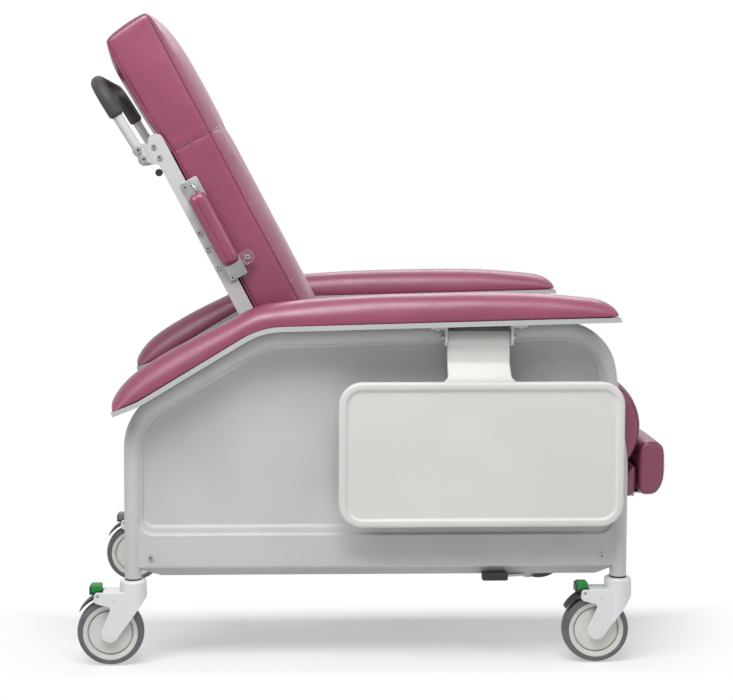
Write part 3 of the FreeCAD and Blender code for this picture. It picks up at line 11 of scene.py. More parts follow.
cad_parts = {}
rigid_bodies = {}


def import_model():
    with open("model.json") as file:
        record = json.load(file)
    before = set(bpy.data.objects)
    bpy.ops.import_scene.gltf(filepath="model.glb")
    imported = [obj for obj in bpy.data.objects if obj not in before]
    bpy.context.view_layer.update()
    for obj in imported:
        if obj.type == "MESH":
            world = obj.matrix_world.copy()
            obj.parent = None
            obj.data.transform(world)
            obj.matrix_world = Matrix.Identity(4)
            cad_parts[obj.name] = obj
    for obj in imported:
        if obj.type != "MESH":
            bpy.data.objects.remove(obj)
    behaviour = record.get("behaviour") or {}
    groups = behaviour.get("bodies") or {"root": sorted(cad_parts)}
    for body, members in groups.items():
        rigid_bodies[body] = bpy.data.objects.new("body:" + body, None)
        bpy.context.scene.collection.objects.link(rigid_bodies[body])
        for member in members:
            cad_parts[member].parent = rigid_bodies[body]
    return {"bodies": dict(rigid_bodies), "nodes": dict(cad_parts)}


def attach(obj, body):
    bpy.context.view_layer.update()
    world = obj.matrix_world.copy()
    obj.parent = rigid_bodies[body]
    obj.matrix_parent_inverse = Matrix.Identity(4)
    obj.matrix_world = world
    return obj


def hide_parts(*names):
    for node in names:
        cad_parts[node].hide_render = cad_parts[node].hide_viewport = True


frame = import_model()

MM = 0.001
SIDES = ((-1, "right"), (1, "left"))
NODES = frame["nodes"]
SCENE = bpy.context.scene
OF_FRAME = set(NODES.values()) | set(frame["bodies"].values())
# Anything that the frame did not bring goes, so that the scene starts from the frame alone.
for spare in [o for o in bpy.data.objects if o not in OF_FRAME]:
    bpy.data.objects.remove(spare)
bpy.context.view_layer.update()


# Materials


NOISE_SPAN = (0.3, 0.7)


def linear(red, green, blue):
    """Scene-linear colour from display values between 0 and 255."""
    shares = [v / 255 for v in (red, green, blue)]
    return (*(c / 12.92 if c <= 0.04045 else ((c + 0.055) / 1.055) ** 2.4 for c in shares), 1.0)


def ranged(tree, source, spans, kind="LINEAR"):
    """A value moved from one range to another."""
    made = tree.nodes.new("ShaderNodeMapRange")
    made.interpolation_type = kind
    for key, value in zip(("From Min", "From Max", "To Min", "To Max"), spans):
        made.inputs[key].default_value = value
    tree.links.new(source, made.inputs["Value"])
    return made.outputs["Result"]


class Finish:
    """A procedural material: colour and roughness that drift slowly, over layers of fine bump."""

    def __init__(self, name, **sockets):
        self.material = bpy.data.materials.new(name)
        self.material.use_nodes = True
        self.tree = self.material.node_tree
        self.link = self.tree.links.new
        self.shader = self.tree.nodes["Principled BSDF"]
        self.place = self.node("ShaderNodeTexCoord").outputs["Object"]
        for key, value in sockets.items():
            self.shader.inputs[key.replace("_", " ")].default_value = value

    def node(self, kind, **values):
        made = self.tree.nodes.new(kind)
        for key, value in values.items():
            setattr(made, key, value)
        return made

    def texture(self, kind, scale, stretch, **values):
        """A texture laid out in the object's own metres."""
        mapping = self.node("ShaderNodeMapping")
        mapping.inputs["Scale"].default_value = stretch
        made = self.node(kind, **values)
        made.inputs["Scale"].default_value = scale
        self.link(self.place, mapping.inputs["Vector"])
        self.link(mapping.outputs["Vector"], made.inputs["Vector"])
        return made

    def noise(self, scale, detail=2.0, stretch=(1, 1, 1)):
        made = self.texture("ShaderNodeTexNoise", scale, stretch)
        made.inputs["Detail"].default_value = detail
        return made.outputs["Fac"]

    def cells(self, scale):
        made = self.texture("ShaderNodeTexVoronoi", scale, (1, 1, 1), feature="SMOOTH_F1")
        return made.outputs["Distance"]

    def colour(self, source, dark, light):
        ramp = self.node("ShaderNodeValToRGB")
        for stop, place, shade in zip(ramp.color_ramp.elements, NOISE_SPAN, (dark, light)):
            stop.position = place
            stop.color = linear(*shade)
        self.link(source, ramp.inputs["Fac"])
        self.link(ramp.outputs["Color"], self.shader.inputs["Base Color"])
        return self

    def rough(self, source, low, high):
        level = ranged(self.tree, source, (*NOISE_SPAN, low, high))
        self.link(level, self.shader.inputs["Roughness"])
        return self

    def bump(self, source, strength, distance):
        made = self.node("ShaderNodeBump")
        made.inputs["Strength"].default_value = strength
        made.inputs["Distance"].default_value = distance
        normal = self.shader.inputs["Normal"]
        if normal.is_linked:
            self.link(normal.links[0].from_socket, made.inputs["Normal"])
        self.link(source, made.inputs["Height"])
        self.link(made.outputs["Normal"], normal)
        return self


def vinyl(name, dark, light):
    """Soft upholstery vinyl with a fine pebble grain."""
    made = Finish(name, Specular_IOR_Level=0.7, Coat_Weight=0.2, Coat_Roughness=0.32)
    made.colour(made.noise(7.0, 4.0), dark, light).rough(made.noise(55.0, 3.0), 0.34, 0.44)
    made.bump(made.cells(950.0), 0.16, 0.0005)
    made.bump(made.noise(38.0, 2.0), 0.10, 0.0025)
    return made.bump(made.noise(7.0, 1.0, (1, 0.6, 1.6)), 0.10, 0.03).material


def paint(name, dark, light, roughness):
    """Powder coat with a slight orange peel."""
    made = Finish(name, Specular_IOR_Level=0.45)
    made.colour(made.noise(5.0, 3.0), dark, light).rough(made.noise(90.0, 3.0), *roughness)
    made.bump(made.noise(420.0, 2.0), 0.10, 0.0004)
    return made.bump(made.cells(1500.0), 0.05, 0.0002).material


def moulded(name, dark, light, roughness, grain):
    """Moulded plastic with a spark-eroded grain."""
    made = Finish(name, Specular_IOR_Level=0.4)
    made.colour(made.noise(6.0, 4.0), dark, light).rough(made.noise(70.0, 3.0), *roughness)
    return made.bump(made.noise(1300.0, 3.0), grain, 0.0004).material


def metal(name, dark, light, roughness, metallic, stretch):
    """Bare or plated metal with faint drawn lines."""
    made = Finish(name, Metallic=metallic)
    made.colour(made.noise(25.0, 3.0), dark, light).rough(made.noise(160.0, 4.0, stretch), *roughness)
    return made.bump(made.noise(700.0, 2.0, stretch), 0.06, 0.0003).material


def foam(name):
    """Closed-cell grip foam."""
    made = Finish(name, Specular_IOR_Level=0.3)
    made.colour(made.noise(30.0, 3.0), (60, 60, 61), (72, 72, 72))
    made.rough(made.noise(200.0, 2.0), 0.5, 0.62)
    return made.bump(made.cells(1800.0), 0.25, 0.0004).material


def rubber(name, dark, light):
    """Tyre rubber with a dusty, slightly uneven face."""
    made = Finish(name, Specular_IOR_Level=0.35)
    made.colour(made.noise(40.0, 5.0), dark, light).rough(made.noise(130.0, 3.0), 0.48, 0.62)
    return made.bump(made.noise(900.0, 3.0), 0.18, 0.0004).material


def plywood(name):
    """Birch board with long grain."""
    made = Finish(name, Specular_IOR_Level=0.3)
    grain = made.noise(28.0, 6.0, (0.12, 1.0, 1.0))
    made.colour(grain, (168, 132, 92), (205, 172, 130)).rough(grain, 0.5, 0.65)
    return made.bump(grain, 0.12, 0.0005).material


def clear():
    """Clear soft plastic."""
    made = Finish("clear_tab", Transmission_Weight=0.92, Specular_IOR_Level=0.5, IOR=1.4)
    made.colour(made.noise(20.0, 3.0), (236, 222, 228), (246, 236, 240))
    made.rough(made.noise(60.0, 3.0), 0.10, 0.20)
    return made.bump(made.noise(150.0, 2.0), 0.05, 0.0004).material


DRAWN = (0.08, 1, 1)
FINISHES = (
    (paint, "frame_paint", (201, 202, 201), (210, 211, 209), (0.36, 0.46)),
    (moulded, "panel_plastic", (199, 200, 199), (209, 209, 207), (0.40, 0.52), 0.20),
    (moulded, "arm_plastic", (186, 190, 188), (197, 200, 198), (0.36, 0.46), 0.14),
    (vinyl, "vinyl", (134, 53, 83), (144, 62, 93)),
    (moulded, "tray_plastic", (222, 222, 219), (229, 229, 226), (0.40, 0.52), 0.10),
    (paint, "caster_metal", (231, 233, 235), (234, 236, 238), (0.29, 0.33)),
    (moulded, "hub_plastic", (216, 215, 211), (226, 225, 221), (0.34, 0.44), 0.08),
    (rubber, "tyre", (96, 96, 100), (112, 112, 116)),
    (moulded, "black_plastic", (38, 39, 41), (52, 53, 55), (0.40, 0.54), 0.22),
    (foam, "grip_foam"),
    (rubber, "rubber", (30, 30, 32), (42, 42, 44)),
    (metal, "steel", (150, 151, 154), (176, 177, 180), (0.26, 0.38), 0.85, DRAWN),
    (plywood, "plywood"),
)
LOOKS = {name: kind(name, *values) for kind, name, *values in FINISHES}
THREAD = vinyl("thread", (112, 42, 72), (126, 52, 82))
# Dark vinyl for cords laid in the seam grooves: painted shade of the creases, finer than the skin can
# fold.
CREASE_SHADE = vinyl("painted_crease_shade", (92, 30, 58), (104, 38, 68))
GREEN_CAP = moulded("green_cap", (24, 128, 52), (36, 146, 64), (0.34, 0.44), 0.10)
GREY_CAP = moulded("grey_cap", (122, 120, 126), (140, 138, 144), (0.36, 0.46), 0.10)
# Dark grey for discs on the screw heads: painted shade of their driver recesses.
RECESS_SHADE = moulded("recess", (40, 41, 43), (58, 59, 61), (0.40, 0.50), 0.10)
CLEAR_TAB = clear()
for node in NODES.values():
    slot = node.material_slots[0].material.name
    node.material_slots[0].material = LOOKS[slot.split(".")[0]]


# Mesh helpers


LEAST_CORNER = 0.15


def add_object(name, verts, faces, material, smooth=True):
    """A new mesh object with one material."""
    mesh = bpy.data.meshes.new(name)
    mesh.from_pydata([tuple(v) for v in verts], [], faces)
    mesh.validate()
    mesh.materials.append(material)
    mesh.polygons.foreach_set("use_smooth", [smooth] * len(mesh.polygons))
    made = bpy.data.objects.new(name, mesh)
    SCENE.collection.objects.link(made)
    return made


def face_out(piece):
    """Turn all faces of a closed piece outwards."""
    work = bmesh.new()
    work.from_mesh(piece.data)
    bmesh.ops.recalc_face_normals(work, faces=work.faces)
    work.to_mesh(piece.data)
    work.free()
    return piece


def settle(piece, body, slot, *replaced):
    """Hang a finished piece on its body and hide the nodes that it stands for; the slot is not used."""
    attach(piece, body)
    if replaced:
        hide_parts(*replaced)


def fitted(name, shape, body, slot, *replaced, look=None, smooth=True):
    """A closed piece on its body, with its slot's look unless another is given."""
    piece = face_out(add_object(name, *shape, look or LOOKS[slot], smooth))
    settle(piece, body, slot, *replaced)


def bands(rows, count):
    """Faces between rows of points that each close on themselves."""
    faces = []
    for row in range(rows - 1):
        low, high = row * count, (row + 1) * count
        for i in range(count):
            j = (i + 1) % count
            faces.append((low + i, low + j, high + j, high + i))
    return faces


def loft(loops):
    """Points and faces through closed loops of the same count, with flat ends."""
    count = len(loops[0])
    verts = [p for loop in loops for p in loop]
    faces = bands(len(loops), count)
    faces.append(tuple(range(count)))
    faces.append(tuple(range(len(verts) - count, len(verts))))
    return verts, faces


def merge(parts):
    """One list of points and faces from several."""
    verts, faces = [], []
    for part_verts, part_faces in parts:
        start = len(verts)
        verts += [Vector(v) for v in part_verts]
        faces += [tuple(start + i for i in face) for face in part_faces]
    return verts, faces


def across(direction):
    """Two unit vectors square to a direction."""
    other = Vector((0, 1, 0)) if abs(direction.y) < 0.9 else Vector((1, 0, 0))
    first = direction.cross(other).normalized()
    return first, direction.cross(first).normalized()


def circle(centre, first, second, radius, sides):
    """Points round a centre, in the plane of two unit vectors."""
    angles = [2 * math.pi * k / sides for k in range(sides)]
    return [centre + (first * math.cos(a) + second * math.sin(a)) * radius for a in angles]


def tube(points, radii, sides):
    """A round bar through points with a radius at each, turned as little as possible along the way."""
    last = len(points) - 1
    loops = []
    side = None
    for i, point in enumerate(points):
        run = (points[min(i + 1, last)] - points[max(i - 1, 0)]).normalized()
        if side is None:
            side = across(run)[0]
        side = (side - run * side.dot(run)).normalized()
        loops.append(circle(point, side, run.cross(side), radii[i], sides))
    return loft(loops)


def wire(points, radius, sides):
    """A round bar of one radius through points."""
    return tube(points, [radius] * len(points), sides)


def turned(profile, start, direction, sides):
    """A turned piece from (along, radius) points, with flat ends."""
    direction = Vector(direction).normalized()
    first, second = across(direction)
    return loft([circle(Vector(start) + direction * along, first, second, radius, sides)
                 for along, radius in profile])


def rounded(points, radii, steps):
    """A 2-D line with each inner corner turned into an arc."""
    points = [Vector(p) for p in points]
    made = [points[0]]
    for before, corner, after, radius in zip(points, points[1:], points[2:], radii):
        inward, outward = (before - corner).normalized(), (after - corner).normalized()
        half = inward.angle(outward) / 2
        centre = corner + (inward + outward).normalized() * (radius / math.sin(half))
        first = corner + inward * (radius / math.tan(half)) - centre
        last = corner + outward * (radius / math.tan(half)) - centre
        angle = math.pi - 2 * half
        for k in range(steps + 1):
            share = k / steps
            swung = first * math.sin((1 - share) * angle) + last * math.sin(share * angle)
            made.append(centre + swung / math.sin(angle))
    made.append(points[-1])
    return made


def shifted(points, distance):
    """The 2-D line moved sideways, to the left of its direction."""
    points = [Vector(p) for p in points]
    normals = []
    for a, b in zip(points, points[1:]):
        run = (b - a).normalized()
        normals.append(Vector((-run.y, run.x)))
    made = [points[0] + normals[0] * distance]
    for corner, first, second in zip(points[1:], normals, normals[1:]):
        middle = (first + second).normalized()
        made.append(corner + middle * (distance / middle.dot(first)))
    made.append(points[-1] + normals[-1] * distance)
    return made


def rounded_rectangle(low, high, radius, steps, inset=0.0):
    """Closed 2-D outline with round corners, drawn in by an inset."""
    x0, y0 = (v + inset for v in low)
    x1, y1 = (v - inset for v in high)
    start = ((x0 + x1) / 2, y0)
    corners = [start, (x0, y0), (x0, y1), (x1, y1), (x1, y0), start]
    return rounded(corners, [radius] * 4, steps)[:-1]


def stacked(low, high, corner, steps, section, place):
    """Rounded rectangles from (inset, level) pairs, joined one after another."""
    loops = []
    for inset, level in section:
        radius = max(corner - inset, corner * LEAST_CORNER)
        flat = rounded_rectangle(low, high, radius, steps, inset)
        loops.append([place(p, level) * MM for p in flat])
    return loft(loops)


# Side panels and tray


ARCH = ((-460, 472), (-211, 622.4), (426.8, 638.6), (463, 386))
ARCH_RADII = (100, 120, 90, 300)
ARCH_ENDS = (-460, 463)
SKIRT_INSET = 4
SKIRT_CORNER = 3
SKIRT_EDGE = ((188.0, 314.0), (186.0, 316.0), (186.0, 326.5), (186.6, 328.6), (188.0, 329.7),
              (190.0, 330.0), (193.0, 330.0))
PANEL_FACE = 330
# The sunk field: each value at its rim, and how much it changes down to its floor.
POCKET_INSET = (10, 10.5)
POCKET_LOW = (248, 19)
POCKET_CORNER = (30, -8)
POCKET_DEPTH = 12
POCKET_STEPS = ((-0.12, 0.0), (0.0, 0.0), (0.05, 0.05), (0.10, 0.18), (0.16, 0.30), (0.22, 0.36),
                (0.32, 0.40), (0.5, 0.44), (0.68, 0.48), (0.78, 0.53), (0.85, 0.62), (0.91, 0.80),
                (0.96, 0.94), (1.02, 0.99), (1.15, 1.0))


def arch_loop(inset, low, corner, y):
    """Closed line inside the side tube, with its lower edge at the given height."""
    line = [(ARCH_ENDS[0], low), *ARCH, (ARCH_ENDS[1], low)]
    inner = shifted(line, -inset)
    middle = (inner[0] + inner[-1]) / 2
    radii = [corner, *(r - inset for r in ARCH_RADII), corner]
    flat = rounded([middle, *inner, middle], radii, steps=14)[:-1]
    return [Vector((p.x, y, p.y)) * MM for p in flat]


def side_panel(name, side):
    """Moulded panel: a flat skirt with a round lower edge, under a sunk field with soft sides."""
    loops = [arch_loop(SKIRT_INSET, low, SKIRT_CORNER, side * y) for low, y in SKIRT_EDGE]
    for share, depth in POCKET_STEPS:
        spans = (POCKET_INSET, POCKET_LOW, POCKET_CORNER)
        inset, low, corner = (rim + fall * share for rim, fall in spans)
        loops.append(arch_loop(inset, low, corner, side * (PANEL_FACE - POCKET_DEPTH * depth)))
    fitted(f"panel_{name}", loft(loops), "frame", "panel_plastic", f"side_panel_{name}")


TRAY_LOW = (-73.0, 272.4)
TRAY_HIGH = (460.0, 544.4)
TRAY_CORNER = 44
TRAY_SECTION = ((14, -371.0), (9, -371.0), (7.2, -370.6), (6.2, -369.5), (5.8, -366.5), (5.2, -364.8),
                (4.2, -364.0), (2.4, -364.1), (1.0, -364.8), (0.2, -366.2), (0, -368.0), (0, -374.5),
                (0.4, -376.6), (1.6, -378.6), (3.4, -379.7), (5.4, -380.0), (10.6, -380.0),
                (12.2, -379.7), (13.4, -379.0), (14.4, -377.8), (15.6, -376.7), (17.0, -376.15),
                (19.0, -376.0), (24.0, -376.0))
NECK_X = (130.0, 247.0)
NECK_THICK = 7.0
NECK_CORNER = NECK_THICK / 2.2
NECK_FLARE = 15.0
NECK_LINE = ((-354, 637.5), (-354, 618), (-349.5, 612), (-352, 577), (-373.6, 551), (-376.3, 536),
             (-372, 528))
NECK_RADII = (8, 5, 18, 18, 8)


def tray_neck():
    """The stepped neck that the tray hangs by, flared where it meets the rim."""
    line = rounded(NECK_LINE, NECK_RADII, 6)
    middle = sum(NECK_X) / 2
    deep = NECK_THICK / 2
    rings = []
    for i, point in enumerate(line):
        run = (line[min(i + 1, len(line) - 1)] - line[max(i - 1, 0)]).normalized()
        out = Vector((run.y, -run.x))
        above = max(0.0, min(NECK_FLARE, point.y - TRAY_HIGH[1]))
        flare = NECK_FLARE - math.sqrt(NECK_FLARE ** 2 - (NECK_FLARE - above) ** 2)
        half = (NECK_X[1] - NECK_X[0]) / 2 + flare
        ring = rounded_rectangle((-half, -deep), (half, deep), NECK_CORNER, 5)
        rings.append([Vector((middle + p.x, point.x + out.x * p.y, point.y + out.y * p.y)) * MM
                      for p in ring])
    return loft(rings)


for side, name in SIDES:
    side_panel(name, side)
tray_dish = stacked(TRAY_LOW, TRAY_HIGH, TRAY_CORNER, 12, TRAY_SECTION,
                    lambda p, y: Vector((p.x, y, p.y)))
fitted("tray_shell", merge([tray_dish, tray_neck()]), "side_tray", "tray_plastic", "tray")


# Upholstery


BACK_LEAN = math.radians(27.8)
BACK_FOOT = Vector((-138.8, 0, 464.3))
BACK_UP = Vector((-math.sin(BACK_LEAN), 0, math.cos(BACK_LEAN)))
BACK_FORE = Vector((math.cos(BACK_LEAN), 0, math.sin(BACK_LEAN)))
DOWN = Vector((0, 0, -1))
REARWARD = Vector((-1, 0, 0))
ROLL_CENTRE = Vector((413, 436))
BACK_HALF = 245.0
SEAT_HALF = 262.0
LEG_HALF = 245.0
SIDE_SWELL = 3.0
SIDE_FACING = 0.7
REST_FACING = 0.8
STATION_MIX = (0.55, 0.45)
CLOTH = {"mass": 0.3, "tension_stiffness": 60, "compression_stiffness": 60, "shear_stiffness": 30,
         "bending_stiffness": 8}
CLOTH_FRAMES = 20
WRINKLE_EASE = 5
# Each layer of gathers: its share, its length along the seam, its place in the noise and its depth.
GATHERS = ((1.0, 0.019, 0.0, 0.06), (0.5, 0.009, 9.1, 0.03))
SEAM_STEPS = 60
THREAD_LIFT = 0.25


def on_back(s, y, t):
    """A place s up the back, y across and t forward of it, in millimetres."""
    return BACK_FOOT + BACK_UP * s + BACK_FORE * t + Vector((0, y, 0))


def on_side(x, y, z):
    return Vector((x, y, z))


def bowed(first, last, rise, count=24):
    """A shallow arc between two 2-D points, standing out to the left of its direction."""
    first, last = Vector(first), Vector(last)
    run = last - first
    left = Vector((-run.y, run.x)).normalized()
    shares = [k / count for k in range(count + 1)]
    return [first + run * u + left * (4 * rise * u * (1 - u)) for u in shares]


def turn(centre, radius, first, last, count):
    """An arc round a centre, between two angles in degrees."""
    angles = [math.radians(first + (last - first) * k / count) for k in range(count + 1)]
    return [Vector(centre) + Vector((math.cos(a), math.sin(a))) * radius for a in angles]


def travel(line):
    """Distance along a line of points, at each of them."""
    return np.r_[0, np.cumsum(np.linalg.norm(np.diff(line, axis=0), axis=1))]


def spread(points, count):
    """Points evenly spread along a line, both ends kept."""
    line = np.array([tuple(p) for p in points], dtype=float)
    steps = travel(line)
    places = np.linspace(0, steps[-1], count + 1)
    return np.stack([np.interp(places, steps, column) for column in line.T], axis=1)


def softened(loop, rounds):
    """Closed 2-D outline with its corners eased."""
    for _ in range(rounds):
        loop = 0.5 * loop + 0.25 * (np.roll(loop, 1, axis=0) + np.roll(loop, -1, axis=0))
    return loop


def end_patch(loop, n, m):
    """Grid of points inside a four-sided outline with n and m steps to a side."""
    rear, top = loop[:n + 1], loop[n:n + m + 1]
    fore = loop[n + m:2 * n + m + 1][::-1]
    low = np.vstack([loop[2 * n + m:], loop[:1]])[::-1]
    u = np.linspace(0, 1, n + 1)[:, None, None]
    v = np.linspace(0, 1, m + 1)[None, :, None]
    corners = ((1 - u) * (1 - v) * rear[0] + u * (1 - v) * rear[-1]
               + (1 - u) * v * fore[0] + u * v * fore[-1])
    along = (1 - v) * rear[:, None] + v * fore[:, None]
    return along + (1 - u) * low[None, :] + u * top[None, :] - corners


def boxed(outline, counts, stations, place, rounds):
    """Closed grid skin: four-sided outlines across the width with a grid patch on each end."""
    n, m = counts
    loops = []
    for share, y in stations:
        sides = [spread(side, count) for side, count in zip(outline(share), (n, m, n, m))]
        loops.append((softened(np.vstack([side[:-1] for side in sides]), rounds), y))
    total = 2 * (n + m)
    verts = [place(a, y, b) * MM for loop, y in loops for a, b in loop]
    faces = bands(len(loops), total)
    for row in (0, len(loops) - 1):
        loop, y = loops[row]
        grid = end_patch(loop, n, m)
        start = row * total
        index = np.empty((n + 1, m + 1), dtype=int)
        index[:, 0] = start + np.arange(n + 1)
        index[n, :] = start + n + np.arange(m + 1)
        index[::-1, m] = start + n + m + np.arange(n + 1)
        index[0, :0:-1] = start + 2 * n + m + np.arange(m)
        inner = grid[1:n, 1:m].reshape(-1, 2)
        index[1:n, 1:m] = len(verts) + np.arange(len(inner)).reshape(n - 1, m - 1)
        verts += [place(a, y, b) * MM for a, b in inner]
        index = index.tolist()
        for i in range(n):
            for j in range(m):
                faces.append((index[i][j], index[i + 1][j], index[i + 1][j + 1], index[i][j + 1]))
    return verts, faces


def crown_at(share):
    """How much of the crown there is at a share of the half width."""
    return 1 - share ** 6


def stations_across(half, count=40):
    """Places across a width, closer together near the sides, with the crown's share at each."""
    made = []
    for k in range(count + 1):
        even = 2 * k / count - 1
        share = math.sin(math.pi / 2 * even) * STATION_MIX[0] + even * STATION_MIX[1]
        made.append((crown_at(share), share * half))
    return made


def vertex_values(mesh, key):
    """A vector at each point of a mesh."""
    flat = np.empty(len(mesh.vertices) * 3, dtype=np.float32)
    mesh.vertices.foreach_get(key, flat)
    return flat.reshape(-1, 3)


def coords(piece):
    return vertex_values(piece.data, "co").astype(float)


def put(piece, places):
    piece.data.vertices.foreach_set("co", np.asarray(places, dtype=np.float32).ravel())
    piece.data.update()


def averaged(piece, values, rounds, strength=0.5):
    """Values at the points of a skin, each moved towards those of its neighbours."""
    edges = np.empty(len(piece.data.edges) * 2, dtype=np.int32)
    piece.data.edges.foreach_get("vertices", edges)
    edges = edges.reshape(-1, 2)
    degree = np.bincount(edges.ravel(), minlength=len(values))[:, None]
    for _ in range(rounds):
        total = np.zeros_like(values)
        np.add.at(total, edges[:, 0], values[edges[:, 1]])
        np.add.at(total, edges[:, 1], values[edges[:, 0]])
        values = values * (1 - strength) + total / degree * strength
    return values


def eased(piece, rounds, strength=0.5):
    """Round the edges of a skin."""
    put(piece, averaged(piece, coords(piece), rounds, strength))


def surface_of(*pieces):
    """Search tree of meshes in world space."""
    parts = []
    for piece in pieces:
        verts = [piece.matrix_world @ v.co for v in piece.data.vertices]
        parts.append((verts, [tuple(p.vertices) for p in piece.data.polygons]))
    return BVHTree.FromPolygons(*merge(parts))


def swell(piece, pressure, cap):
    """Blow the skin up as cloth under pressure, and keep each point within a cap of its start."""
    start = coords(piece)
    cloth = piece.modifiers.new("cloth", "CLOTH")
    cloth.settings.use_pressure = True
    cloth.settings.uniform_pressure_force = pressure
    cloth.settings.effector_weights.gravity = 0
    for key, value in CLOTH.items():
        setattr(cloth.settings, key, value)
    cloth.point_cache.frame_start = 1
    cloth.point_cache.frame_end = CLOTH_FRAMES
    for step in range(1, CLOTH_FRAMES + 1):
        SCENE.frame_set(step)
    blown = piece.evaluated_get(bpy.context.evaluated_depsgraph_get()).to_mesh()
    move = vertex_values(blown, "co") - start
    piece.modifiers.remove(cloth)
    SCENE.frame_set(1)
    length = np.linalg.norm(move, axis=1, keepdims=True)
    move *= np.minimum(1, cap * MM / np.maximum(length, 1e-9))
    put(piece, start + averaged(piece, move, WRINKLE_EASE))


def held_to(piece, solid, over, flats):
    """Keep the skin no further outside its solid than a margin, and flat where it rests on something."""
    places = coords(piece)
    for i, place in enumerate(places):
        near, normal, _, distance = solid.find_nearest(Vector(place))
        offset = Vector(place) - near
        margin = over * MM if abs(normal.y) < SIDE_FACING else min(over, SIDE_SWELL) * MM
        if any(normal.dot(flat) > REST_FACING for flat in flats):
            margin = 0.0
        if offset.dot(normal) > 0 and distance > margin:
            places[i] = near + offset.normalized() * margin
    put(piece, places)


def divided(piece):
    """Apply one level of subdivision."""
    work = piece.modifiers.new("finer", "SUBSURF")
    work.levels = work.render_levels = 1
    fine = bpy.data.meshes.new_from_object(piece.evaluated_get(bpy.context.evaluated_depsgraph_get()))
    piece.modifiers.remove(work)
    piece.data = fine
    fine.polygons.foreach_set("use_smooth", [True] * len(fine.polygons))


class Seam:
    """A sewn line laid on a skin."""

    def __init__(self, piece, line, spacing=3.0):
        skin = surface_of(piece)
        flat = np.array([tuple(p) for p in line]) * MM
        count = max(2, int(travel(flat)[-1] / (spacing * MM)))
        even = spread(flat, count)
        found = [skin.find_nearest(Vector(p)) for p in even]
        laid = np.array([tuple(f[0]) for f in found])
        for _ in range(4):
            laid[1:-1] = 0.5 * laid[1:-1] + 0.25 * (laid[:-2] + laid[2:])
        self.points = [Vector(p) for p in laid]
        self.normals = [f[1] for f in found]
        self.spacing = spacing * MM

    def cord(self, radius, lift):
        """Round cord along the line, lifted off the skin."""
        line = [point + normal * (lift * MM) for point, normal in zip(self.points, self.normals)]
        return wire(line, radius * MM, 7)

    def stitches(self, aside, length=3.2, pitch=5.2, radius=0.42):
        """Short threads beside the line."""
        step = max(1, round(pitch * MM / self.spacing))
        made = []
        for i in range(1, len(self.points) - 1, step):
            chord = self.points[i + 1] - self.points[i - 1]
            run, beside = chord.normalized(), self.normals[i].cross(chord).normalized()
            middle = self.points[i] + beside * (aside * MM) + self.normals[i] * (THREAD_LIFT * MM)
            ends = [middle - run * (length * MM / 2), middle + run * (length * MM / 2)]
            made.append(wire(ends, radius * MM, 5))
        return made


def sewn(piece, seams, depth, width, pucker, reach, seed):
    """Draw the skin in along its seams, with small gathers beside them."""
    tree = kdtree.KDTree(sum(len(s.points) for s in seams))
    along = []
    for seam in seams:
        for i, point in enumerate(seam.points):
            tree.insert(point, len(along))
            along.append(i * seam.spacing)
    tree.balance()
    places = coords(piece)
    normals = vertex_values(piece.data, "normal")
    for i, place in enumerate(places):
        _, index, distance = tree.find(place)
        if distance > 3 * reach * MM:
            continue
        gather = sum(share * noise.noise((along[index] / length, seed + shift, distance / deep))
                     for share, length, shift, deep in GATHERS)
        fade = math.exp(-distance / (reach * MM))
        clear_of_seam = 1 - math.exp(-distance / (width * MM))
        inward = depth * math.exp(-(distance / (width * MM)) ** 2)
        inward += pucker * gather * fade * clear_of_seam
        places[i] -= normals[i] * (inward * MM)
    put(piece, places)


def cushion(name, solids, body, skin, over, flats, fill, ease=3, pressure=3.0, cap=4.0):
    """Padded piece from a grid skin: eased, blown up, held near its solids and refined."""
    piece = add_object(name, *skin, LOOKS["vinyl"])
    face_out(piece)
    eased(piece, ease)
    swell(piece, pressure, cap)
    held_to(piece, surface_of(*(NODES[solid] for solid in solids)), over, flats)
    eased(piece, 1, 0.3)
    divided(piece)
    settle(piece, body, "vinyl", *solids)
    return piece


def trim(name, body, parts, material):
    """Cords or threads of a cushion, where it has any, as one piece."""
    if parts:
        fitted(name, merge(parts), body, "vinyl", look=material)


# FRONT_T, ROLL_R, SEAT_TOP and each _RISE are a value at the sides and its change with the crown.
BACK_SPAN = (10.0, 827.0)
FRONT_TOP = 825
FRONT_T = (101, 24)
SEAM_PINCH = 2.5
PINCH_REACH = 16
HEAD_SEAM = 564.7
HEAD_TOP = 814
REAR_T = 15
HEAD_REAR_LEAN = 12
HEAD_REAR_RISE = (6, 9)
HEAD_TOP_RISE = (1.5, 7.5)
HEAD_MIDDLE = (705.0, 50.0)
HEAD_REACH = (112.0, 46.0)
HEAD_SIDE_FROM = 0.9
CROSS_SEAM_DEEP = 85.5
ROLL_R = (105, 6)
ROLL_ANGLES = (95, -62, -75)
SEAT_REAR = -50
SEAT_UNDER = 397.6
SEAT_TOP = (497, 8)
SEAT_FOOT = (345, SEAT_UNDER)
SEAT_LIP = 12
CALF_X = (460.3, 511)
CALF_LOW = 301
CALF_TOP = (327.9, 370.2)
CALF_HOLLOW_R = 118
CALF_HOLLOW_ANGLES = (-66.4, -33.9)
CALF_RISE = (1.5, 3)
FOOT_X = (517.5, 567)
FOOT_Z = (303.5, 408)
FOOT_CHIN = ((566, 322), (560, 310), (551, 303.5))
FOOT_TOP_RISE = (3, 5)
FOOT_FRONT_RISE = (4, 3)


def crowned(pair, crown):
    """A value at one place across the width."""
    return pair[0] + pair[1] * crown


def front_t(s, crown):
    """How far the front stands off the uprights, at a height up the back."""
    share = abs(2 * (s - BACK_SPAN[0]) / (BACK_SPAN[1] - BACK_SPAN[0]) - 1)
    pinch = SEAM_PINCH * math.exp(-((s - HEAD_SEAM) / PINCH_REACH) ** 2)
    return FRONT_T[0] + crown * (FRONT_T[1] * (1 - share ** 9) - pinch)


